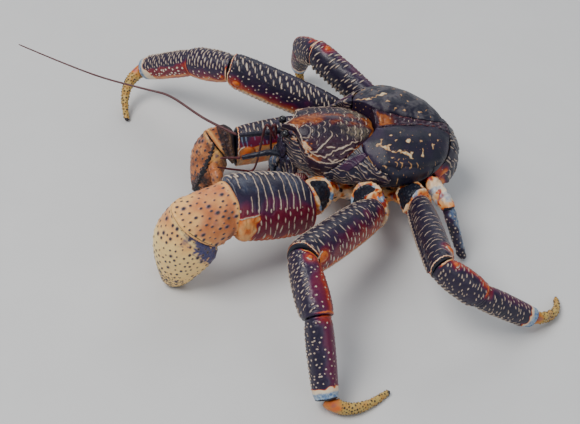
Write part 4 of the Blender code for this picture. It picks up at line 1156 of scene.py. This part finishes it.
def backWrist(skin, plan):
    wave = ripple(skin.points, 12.0, 131)
    clawSpots(skin, tipward=np.zeros(len(wave)), **plan["spots"])
    x, y = skin.facePlace()
    # the outer corner is drawn in
    corner = plan["corner"]
    over = np.maximum(y - corner["up"] - corner["slope"] * x, 0.0)
    skin.points -= over[:, None] * (corner["drawDown"] * upward - corner["drawOut"] * sideways)
    skin.set("warm", plan["warm"] + 0.10 * wave)
    plate = ease(-1.0, 3.0, x + 0.3 * y)
    skin.most("black", plan["plateBlack"] * plate)
    lines = ridges(skin.along, skin.turn * skin.radius, wave=0.1 * wave, **plan["lines"])
    skin.most("blue", plan["lineBlue"] * ease(-0.5, 0.3, lines) * plate)


handPlan = dict(plump=0.04, spots=dict(seed=12, gap=3.1, radius=0.90), grains=(23.0, 11.0),
                hinge=dict(height=2.4, radius=7.0))
bigHandPlan = dict(stretch=(1.4, 0.0, 9.0), warmth=dict(base=0.10, upper=0.42, tip=-0.15, wrist=-0.10),
                   patch=dict(place=(17.5, -6.0), blue=1.05), smudge=dict(place=(3.5, 5.0), blue=0.60),
                   grainBlack=0.5, groove=0.9)
# the far hand shows its inner side: the bite bends across it, with blunt teeth along it; least: the darkening
# laid over the whole hand, partly its dark tan and partly painted shade
backHandPlan = dict(bite=(1.0, 0.47, -0.006), toothRate=2.2, toothLift=0.9,
                    warmth=dict(base=0.52, outer=0.24, tip=0.22),
                    black=dict(teeth=0.95, tip=0.65, outer=0.55, inner=0.40, least=0.47))


def bigHand(skin, wave, fine, tipward):
    plan = bigHandPlan
    skin.reachOut(*plan["stretch"])
    clawSpots(skin, tipward=tipward, **handPlan["spots"])
    x, y = skin.facePlace()
    warmth = plan["warmth"]
    skin.set("warm", warmth["base"] + warmth["upper"] * ease(-9.0, 16.0, y + 0.6 * x + 4.0 * wave))
    # a dark blue patch beside the wrist, and a slanting smudge above it
    across, up = plan["patch"]["place"]
    x0, y0 = x - across, y - up
    patch = np.hypot((x0 + y0) * 0.46, (x0 - y0) * 0.20) + 1.1 * fine + 0.5 * wave
    across, up = plan["smudge"]["place"]
    smudge = np.hypot((x - across - 0.9 * (y - up)) * 0.8, (y - up) * 0.42) + 0.8 * fine
    blue = plan["patch"]["blue"] * ease(6.6, 1.4, patch)
    skin.most("blue", blue + plan["smudge"]["blue"] * ease(5.4, 0.4, smudge))
    skin.most("black", plan["grainBlack"] * tipward * ease(0.3, 1.0, fine))
    skin.blend("warm", warmth["tip"], ease(-15.0, -20.0, x) * 0.8)
    clawSeam(skin, skin.nearGap)
    # a dark groove and a chalky band below the wrist
    skin.blend("warm", warmth["wrist"], 0.7 * bell(skin.nearGap - 4.0, 2.0) * ease(-12.0, -2.0, x))
    skin.most("black", plan["groove"] * ease(1.0, 0.4, skin.nearGap))


def backHand(skin, wave, fine, tipward):
    plan = backHandPlan
    clawSpots(skin, tipward=tipward, **handPlan["spots"])
    x, y = skin.facePlace()
    start, slope, curve = plan["bite"]
    bite = start + slope * y + curve * y * y
    outer = ease(1.2, -1.2, x - bite)
    skin.over("mark", noMark, outer <= 0.3)
    warmth, black = plan["warmth"], plan["black"]
    warm = warmth["base"] + warmth["outer"] * outer + 0.16 * wave + warmth["tip"] * ease(2.0, -18.0, y)
    skin.set("warm", warm)
    thick = 1.1 + 1.1 * ease(6.0, -12.0, y)
    teeth = (np.abs(x - bite + 0.8) + 0.6 * fine + 0.5 * np.cos(y * plan["toothRate"])) / thick
    shade = black["teeth"] * ease(1.3, 0.8, teeth) * ease(16.0, 10.0, y)
    shade += black["tip"] * ease(-14.0, -20.0, y + 1.5 * fine)
    shade += black["outer"] * outer * ease(0.0, 1.0, fine)
    shade += black["inner"] * (1.0 - outer) * ease(0.2, 1.2, ripple(skin.points, 9.0, 71) + 0.3 * fine)
    skin.set("black", shade)
    # painted shade: the whole far hand is darkened to at least this much, partly for its dark tan and partly
    # for the shade over its inner side
    skin.most("black", black["least"] + 0.10 * wave)
    skin.height += plan["toothLift"] * bell(x - bite + 0.8, 1.4) * (1.0 + 0.5 * fine)
    clawSeam(skin, skin.nearGap)


fingerPlan = dict(skin=dict(grain=0.5, relax=8, facets=120), girth=0.38, rootDepth=8.0, sink=0.9, reach=0.6,
                  knob=(0.1, 1.05), fat=0.3, spots=dict(seed=13, gap=2.8, radius=0.7), grainsFrom=0.6)


def carveFinger(name, look, hand, hinge, wrist):
    # the root of the finger reaches over into the hand
    plan = fingerPlan
    finger = nodePoints(f"{name}_finger")
    root = finger[np.argsort(-finger[:, 2])[:8]].mean(axis=0)
    heart = hand[np.abs(hand[:, 2] - root[2] - 2.0) < 4.0].mean(axis=0)
    girth = plan["girth"] * np.ptp(finger[finger[:, 2] > root[2] - plan["rootDepth"], :2], axis=0).mean()
    low = root - (0, 0, plan["sink"] * girth)
    rise, wide = plan["knob"]
    lumps = ((low, root + plan["reach"] * (heart - root), girth),
             (low, root + (0, 0, rise * girth), wide * girth))
    skin = Skin(f"{name}_finger", lumps=lumps, **plan["skin"])
    skin.limbPlace(hinge, farEnd(f"{name}_finger", wrist), 1.0)
    skin.height += plan["fat"] + 0.25 * ripple(skin.points, 5.0, 8)
    clawSpots(skin, tipward=ease(plan["grainsFrom"], 1.0, skin.along / skin.length), **plan["spots"])
    skin.set("warm", look["fingerWarm"] + 0.1 * ripple(skin.points, 9.0, 8))
    # the far claw's finger is darkened, partly for its darker brown and partly as painted shade
    skin.most("black", look["fingerDarkAndShade"])
    skin.finish(paints["clawShell"], "claw_orange")


clawPlans = dict(
    cheliped_left=dict(grain=0.55, merus=(bigMerus, bigMerusPlan), wrist=(bigWrist, bigWristPlan),
                       hand=bigHand, fingerWarm=0.35, fingerDarkAndShade=0.0),
    cheliped_right=dict(grain=0.5, merus=(backMerus, backMerusPlan), wrist=(backWrist, backWristPlan),
                        hand=backHand, fingerWarm=0.74, fingerDarkAndShade=0.43))


def carveClaw(name, look):
    wrist = meeting(f"{name}_carpus", f"{name}_palm", 14)
    elbow = meeting(f"{name}_merus", f"{name}_carpus")
    shoulder = meeting(f"{name}_ischium", f"{name}_merus")
    tip = farEnd(f"{name}_palm", wrist)
    shape = dict(grain=look["grain"], rounds=2, relax=3)
    carveCoxa(f"{name}_ischium", farEnd(f"{name}_ischium", shoulder), shoulder, 7)

    skin = Skin(f"{name}_merus", joints=(shoulder, elbow, 1.0), **shape)
    skin.plump(0.03)
    carve, plan = look["merus"]
    carve(skin, plan)
    skin.finish(paints["limbShell"], "limb_dark")

    skin = Skin(f"{name}_carpus", joints=(elbow, wrist, 1.0), **shape)
    carve, plan = look["wrist"]
    skin.plump(plan["plump"])
    carve(skin, plan)
    clawSeam(skin, skin.nearGap)
    clawSeam(skin, skin.farGap)
    skin.finish(paints["clawShell"], "claw_orange")

    skin = Skin(f"{name}_palm", joints=(wrist, tip, 1.0), **shape)
    skin.plump(handPlan["plump"])
    wave, fine = ripple(skin.points, 14.0, 132), ripple(skin.points, 2.6, 7)
    start, full = handPlan["grains"]
    tipward = ease(skin.length - start, skin.length - full, skin.along + 1.5 * fine)
    hinge = meeting(f"{name}_palm", f"{name}_finger")
    away = np.linalg.norm(skin.points - hinge, axis=1)
    skin.height += handPlan["hinge"]["height"] * bell(away, handPlan["hinge"]["radius"])
    look["hand"](skin, wave, fine, tipward)
    hand = skin.points + skin.normals * skin.height[:, None]
    skin.finish(paints["clawShell"], "claw_orange")
    carveFinger(name, look, hand, hinge, wrist)


for name, look in clawPlans.items():
    carveClaw(name, look)
print("claws carved")


def carvePlain(node, warm, bumps=0.25, size=5.0, black=0.0, blue=0.0, **shape):
    # a part with one tone, low bumps of the given size and no marks
    skin = Skin(node, **shape)
    skin.set("warm", warm + 0.06 * ripple(skin.points, 2.5 * size, 7))
    skin.set("black", black)
    skin.set("blue", blue)
    skin.height += bumps * ripple(skin.points, size, 3)
    return skin


# the plates of the short tail: rows of pale streaks, and a red outer margin
tailPlan = dict(
    plain=dict(warm=0.04, bumps=0.12, size=6.0, grain=0.5, relax=2, facets=50),
    streaks=dict(rowGap=3.4, colGap=7.0, halfLength=2.9, halfWidth=0.40, tilt=0.15, loose=0.7, fill=0.62),
    curl=dict(place=(14.0, -25.0), radius=36.0), margin=(22.5, 26.5), marginWarm=0.58, lift=0.3, waves=0.25)


def carveTail(number):
    plan = tailPlan
    skin = carvePlain(f"pleon_tergite_{number}", **plan["plain"])
    u, v, w = skin.trunkPlace().T
    across = np.abs(v)
    # how far round the curl of the tail
    (place, up), radius = plan["curl"]["place"], plan["curl"]["radius"]
    spread = np.arctan2(w - up, u - place) * radius
    wave = ripple(skin.points, 9.0, 20 + number)
    mark = dashes(v + 60.0 + 0.8 * wave, spread + 200.0, seed=number, **plan["streaks"])
    low, high = plan["margin"]
    margin = ease(low, high, across + 0.8 * wave)
    skin.set("mark", np.where(across < high, mark, noMark))
    skin.most("mark", 0.34 - np.abs(across - low + 0.5 * wave))
    skin.blend("warm", plan["marginWarm"] + 0.12 * wave, margin)
    skin.height += plan["lift"] * ease(-0.4, 0.4, skin.masks["mark"])
    waves = ripple(np.stack((spread * 0.25, v), axis=1), 4.0, 30 + number)
    skin.height += plan["waves"] * waves * (1.0 - margin)
    skin.finish(paints["limbShell"], "shell_dark")


softTailPlan = dict(warm=0.62, bumps=0.9, size=7.0, grain=0.7, relax=3, facets=40)


def carveSoftTail():
    skin = carvePlain("pleon_soft", **softTailPlan)
    skin.blend("black", 0.8, ease(0.3, 1.0, ripple(skin.points, 12.0, 41)))
    skin.finish(paints["limbShell"], "soft_skin")


# the underside swells towards each leg root, and from each root to the next; black: the least darkening all
# over it, which is painted shade, and how much more its dark blotches add
thoraxPlan = dict(plain=dict(warm=0.85, bumps=0.6, size=9.0, grain=0.9, relax=3, facets=40),
                  drop=(4.5, 9.5), inward=14.0, girth=9.0, bridge=7.0, stain=0.60, blue=0.5,
                  black=(0.30, 0.4))


def thoraxLumps():
    near, deep = (np.array((0.0, 0.0, -fall)) for fall in thoraxPlan["drop"])
    lumps = []
    for side in ("left", "right"):
        middles = []
        for leg in (f"cheliped_{side}_ischium", f"leg2_{side}_base", f"leg3_{side}_base"):
            outer = meeting(leg, leg.rsplit("_", 1)[0] + "_merus")
            root = farEnd(leg, outer)
            reach = root + unit((root - outer) * (1.0, 1.0, 0.0)) * thoraxPlan["inward"]
            lumps.append((root + near, reach + deep, thoraxPlan["girth"]))
            middles.append((root + reach + near + deep) / 2)
        for first, second in zip(middles, middles[1:]):
            lumps.append((first, second, thoraxPlan["bridge"]))
    return lumps


def carveThorax():
    plan = thoraxPlan
    skin = carvePlain("thorax_underside", lumps=thoraxLumps(), **plan["plain"])
    wave, fine = ripple(skin.points, 9.0, 42), ripple(skin.points, 3.5, 43)
    skin.blend("warm", plan["stain"], ease(0.0, 1.2, wave))
    skin.set("blue", plan["blue"] * ease(0.6, 1.4, ripple(skin.points, 11.0, 44) + 0.3 * fine))
    # painted shade: the whole underside is darkened by the least amount, with dark blotches on top
    least, more = plan["black"]
    skin.set("black", least + more * ease(0.5, 1.3, ripple(skin.points, 7.0, 45) + 0.4 * fine))
    skin.height += 0.3 * fine
    skin.finish(paints["limbShell"], "joint_cream")


# the folded fourth legs: pale blue above, dark blue with cream dots and a yellow edge below
fourthPlan = dict(
    upper=dict(warm=0.93, bumps=0.35, size=5.0, grain=0.5, rounds=2, relax=3), upperStretch=1.5,
    lower=dict(warm=0.12, bumps=0.25, size=4.0, grain=0.45, rounds=2, relax=3), lowerStretch=1.8,
    rim=2.4, rimWarm=0.70, stain=0.56, blue=(0.62, 0.55), dots=(2.6, 0.56), crestWarm=0.90, lift=0.3)


def carveFourth(side):
    plan = fourthPlan
    start = meeting(f"leg4_{side}_upper", f"leg4_{side}_lower")
    skin = carvePlain(f"leg4_{side}_upper", **plan["upper"])
    skin.limbPlace(start, farEnd(skin.node, start), 1.0)
    skin.reachOut(plan["upperStretch"], 0.0)
    wave, fine = ripple(skin.points, 8.0, 51), ripple(skin.points, 3.0, 52)
    rim = np.minimum(skin.nearGap, skin.farGap)
    skin.blend("warm", plan["rimWarm"], ease(plan["rim"], 0.8, rim + 0.4 * fine) * ease(-0.6, 0.4, wave))
    skin.set("blue", plan["blue"][0] * ease(1.2, 4.0, rim) * ease(-0.9, 0.5, wave + 0.3 * fine))
    skin.blend("warm", plan["stain"], 0.9 * ease(0.4, 1.1, ripple(skin.points, 7.0, 54) + 0.3 * fine))
    skin.set("black", 0.8 * ease(0.5, 0.2, rim))
    skin.finish(paints["fourthShell"], "joint_cream")
    skin = carvePlain(f"leg4_{side}_lower", **plan["lower"])
    skin.limbPlace(start, farEnd(skin.node, start), 1.0)
    skin.reachOut(plan["lowerStretch"], 0.0)
    gap, radius = plan["dots"]
    away, luck = scatter(skin.points, gap, 6, skin.along > 2.0)
    mark = radius * (0.6 + 0.7 * luck) - away
    skin.set("mark", mark)
    skin.height += plan["lift"] * ease(-0.5, 0.4, mark)
    turned = np.cos(skin.turn) + 0.4 * ripple(skin.points, 6.0, 53)
    skin.set("blue", plan["blue"][1] * ease(0.6, -0.8, turned))
    skin.blend("warm", plan["crestWarm"], 0.7 * bell(skin.turn * skin.radius, 0.8))
    skin.finish(paints["limbShell"], "limb_dark")


# the mouth: middles in the trunk's own axes, half sizes, and turns about those axes in degrees
mouthPlan = dict(
    blades=(((-86.0, 9.5, -25.0), (2.6, 2.4, 11.0), (8.0, 24.0, 0.0)),
            ((-81.5, 11.5, -24.0), (2.8, 2.6, 12.0), (12.0, 14.0, 10.0)),
            ((-77.0, 13.5, -23.0), (3.0, 2.6, 11.0), (14.0, 6.0, 16.0)),
            ((-84.0, 3.5, -22.0), (3.4, 3.2, 10.0), (0.0, 16.0, 0.0)),
            ((-78.0, 5.0, -22.0), (4.0, 5.0, 9.0), (0.0, 0.0, 0.0))),
    bladeRows=dict(gap=2.3, halfWidth=0.22, broken=0.45, cell=6.0, seed=4.0), bladeEnd=-30.0,
    lobe=((-75.5, 17.0, -30.0), (9.5, 2.8, 4.0), (16.0, -14.0, -14.0)),
    comb=dict(gap=1.5, halfWidth=0.34, broken=0.3, cell=3.0, seed=5.0), combLift=0.4,
    blade=dict(warm=0.06, blue=0.42), lobeTone=dict(warm=0.50, black=0.40))


def mouthMesh(name, lumps, sign):
    seat = Matrix.Translation(Vector(trunkSeat["place"]) * mm) @ trunkSeat["turn"].to_4x4()
    builder = bmesh.new()
    for (u, v, w), halves, (roll, pitch, yaw) in lumps:
        turn = turnOf((sign * roll, pitch, -sign * yaw)).to_4x4()
        place = Matrix.Translation(Vector((u, sign * v, w)) * mm) @ turn @ Matrix.Diagonal((*halves, 1.0))
        bmesh.ops.create_icosphere(builder, subdivisions=4, radius=mm, matrix=seat @ place)
    mesh = bpy.data.meshes.new(name)
    builder.to_mesh(mesh)
    builder.free()
    return mesh


def carveMouth(side, sign):
    # overlapping dark blades under the head
    plan = mouthPlan
    skin = Skin(f"mouth_{side}", grain=0.42, relax=3, shape=mouthMesh("blades", plan["blades"], sign))
    wave, fine = ripple(skin.points, 8.0, 61), ripple(skin.points, 2.4, 62)
    u, v, w = skin.trunkPlace().T
    skin.set("warm", plan["blade"]["warm"] + 0.10 * wave)
    skin.set("blue", plan["blade"]["blue"] * ease(0.2, 1.2, wave + 0.3 * fine))
    rows = ridges(u + 0.25 * w, w, wave=0.1 * wave, **plan["bladeRows"])
    skin.set("mark", np.where(w > plan["bladeEnd"], rows, noMark))
    skin.height += 0.3 * wave + 0.2 * fine + 0.3 * ease(-0.5, 0.3, rows)
    skin.finish(paints["limbShell"], "shell_dark")
    # a brown comb beside them
    skin = Skin(f"mouth_comb_{side}", grain=0.4, relax=3, shape=mouthMesh("comb", (plan["lobe"],), sign))
    fine = ripple(skin.points, 2.4, 63)
    u, v, w = skin.trunkPlace().T
    rows = ridges(u - 0.5 * w, w, wave=0.12 * fine, **plan["comb"])
    skin.set("warm", plan["lobeTone"]["warm"] + 0.16 * fine)
    skin.set("black", plan["lobeTone"]["black"] + 0.3 * fine)
    skin.set("mark", rows - 0.15)
    skin.height += plan["combLift"] * ease(-0.5, 0.3, rows) + 0.15 * fine
    skin.finish(paints["limbShell"], "shell_brown")


headPlans = dict(
    epistome=dict(warm=0.08, bumps=0.5, size=3.2, grain=0.45, rounds=1, relax=3, black=0.4),
    eyestalk=dict(warm=0.16, bumps=0.15, size=2.0, grain=0.3, rounds=2, relax=2, black=0.3),
    antenna=dict(warm=0.06, bumps=0.12, size=3.0, grain=0.35, rounds=2, relax=6, black=0.55),
    maxilliped=dict(warm=0.08, bumps=0.4, size=4.0, grain=0.4, rounds=2, relax=2, black=0.35, blue=0.35),
    jawRows=dict(gap=2.4, halfWidth=0.26, wave=0.0, broken=0.3, cell=5.0, seed=6.0), jawLift=0.25)


def carveHead():
    carvePlain("head_epistome", **headPlans["epistome"]).finish(paints["limbShell"], "shell_dark")
    for side in ("left", "right"):
        for part in ("eyestalk", "antenna"):
            carvePlain(f"{part}_{side}", **headPlans[part]).finish(paints["limbShell"], "shell_dark")
        skin = carvePlain(f"maxilliped_{side}", **headPlans["maxilliped"])
        x, y, z = skin.points.T
        rows = ridges(x + 0.3 * z, z, **headPlans["jawRows"])
        skin.set("mark", rows)
        skin.height += headPlans["jawLift"] * ease(-0.5, 0.3, rows)
        skin.finish(paints["limbShell"], "shell_dark")


# glossy eyes and dark red feelers: two tones, roughness, size and depth of the specks, and coat
eyeLook = dict(low=(0.003, 0.003, 0.005), high=(0.009, 0.008, 0.014), rough=(0.22, 0.30), size=1.6,
               lift=0.004, coat=0.12)
feelerLook = dict(low=(0.040, 0.003, 0.006), high=(0.10, 0.007, 0.011), rough=(0.34, 0.50), size=1.2,
                  lift=0.12, coat=0.0)


def plainPaint(name, look):
    paint = Paint(name)
    speck = paint.noise(look["size"], 4.0, 0.6)
    colour = paint.mix(look["low"], look["high"], speck.step(0.35, 0.7))
    low, high = look["rough"]
    return paint.finish(colour, low + (high - low) * speck, speck, look["lift"], look["coat"], 0.05)


def carveEyesAndFeelers():
    eyePaint, feelerPaint = plainPaint("eyeGloss", eyeLook), plainPaint("feelerShell", feelerLook)
    for side in ("left", "right"):
        for part, paint, slot in (("eye", eyePaint, "eye_black"), ("antennule", feelerPaint, "feeler_red"),
                                  ("flagellum", feelerPaint, "feeler_red")):
            Skin(f"{part}_{side}", grain=0, rounds=3, relax=0).finish(paint, slot)


for number in range(1, 5):
    carveTail(number)
carveSoftTail()
carveThorax()
print("tail and underside carved")
for side in ("left", "right"):
    carveFourth(side)
for side, sign in (("left", -1), ("right", 1)):
    carveMouth(side, sign)
carveHead()
carveEyesAndFeelers()
print("small parts carved")


# places and sizes in metres, power in watts; every lamp looks at the middle of the floor
lampPlans = dict(
    key=dict(place=(-0.7, -0.5, 1.7), size=(1.1, 0.9), power=33.0, colour=(1.0, 0.975, 0.94)),
    fill=dict(place=(1.5, -1.1, 1.0), size=(1.6, 1.2), power=9.0, colour=(0.92, 0.96, 1.0)),
    back=dict(place=(0.2, 1.6, 1.4), size=(1.8, 0.8), power=12.0, colour=(1.0, 1.0, 1.0)))
# aim and distance in millimetres
cameraPlan = dict(aim=(12.2, -3.8, 14.0), azimuth=12.0, elevation=42.0, distance=1000.0, lens=84.4,
                  sensor=36.0, clip=(0.05, 20.0))
floorPlan = dict(half=6.0, tones=((0.60, 0.60, 0.60), (0.64, 0.64, 0.635)), speck=40.0, rough=0.8)
roomPlan = dict(colour=(0.80, 0.86, 0.95), strength=0.42)


def addCamera():
    turn, lift = math.radians(cameraPlan["azimuth"]), math.radians(cameraPlan["elevation"])
    back = Vector((math.sin(turn) * math.cos(lift), -math.cos(turn) * math.cos(lift), math.sin(lift)))
    lens = bpy.data.cameras.new("camera")
    lens.lens = cameraPlan["lens"]
    lens.sensor_width = cameraPlan["sensor"]
    lens.clip_start, lens.clip_end = cameraPlan["clip"]
    camera = bpy.data.objects.new("camera", lens)
    bpy.context.scene.collection.objects.link(camera)
    camera.location = (Vector(cameraPlan["aim"]) + back * cameraPlan["distance"]) * mm
    camera.rotation_mode = "QUATERNION"
    camera.rotation_quaternion = (-back).to_track_quat("-Z", "Y")
    bpy.context.scene.camera = camera


def addLamp(name, plan):
    light = bpy.data.lights.new(name, "AREA")
    light.shape = "RECTANGLE"
    light.size, light.size_y = plan["size"]
    light.energy = plan["power"]
    light.color = plan["colour"]
    box = bpy.data.objects.new(name, light)
    bpy.context.scene.collection.objects.link(box)
    box.location = plan["place"]
    box.rotation_mode = "QUATERNION"
    box.rotation_quaternion = (-Vector(plan["place"])).to_track_quat("-Z", "Y")


def addFloor():
    builder = bmesh.new()
    bmesh.ops.create_grid(builder, x_segments=2, y_segments=2, size=floorPlan["half"])
    mesh = bpy.data.meshes.new("floor")
    builder.to_mesh(mesh)
    builder.free()
    floor = bpy.data.objects.new("floor", mesh)
    bpy.context.scene.collection.objects.link(floor)
    paint = Paint("paleFloor")
    speck = paint.noise(floorPlan["speck"], 2.0)
    first, second = floorPlan["tones"]
    mesh.materials.append(paint.finish(paint.mix(first, second, speck), floorPlan["rough"], speck, 0.0))


def addRoom():
    world = bpy.data.worlds.new("room")
    bpy.context.scene.world = world
    world.use_nodes = True
    sky = world.node_tree.nodes["Background"]
    sky.inputs["Color"].default_value = (*roomPlan["colour"], 1.0)
    sky.inputs["Strength"].default_value = roomPlan["strength"]


addCamera()
for name, plan in lampPlans.items():
    addLamp(name, plan)
addFloor()
addRoom()
print("studio lit")
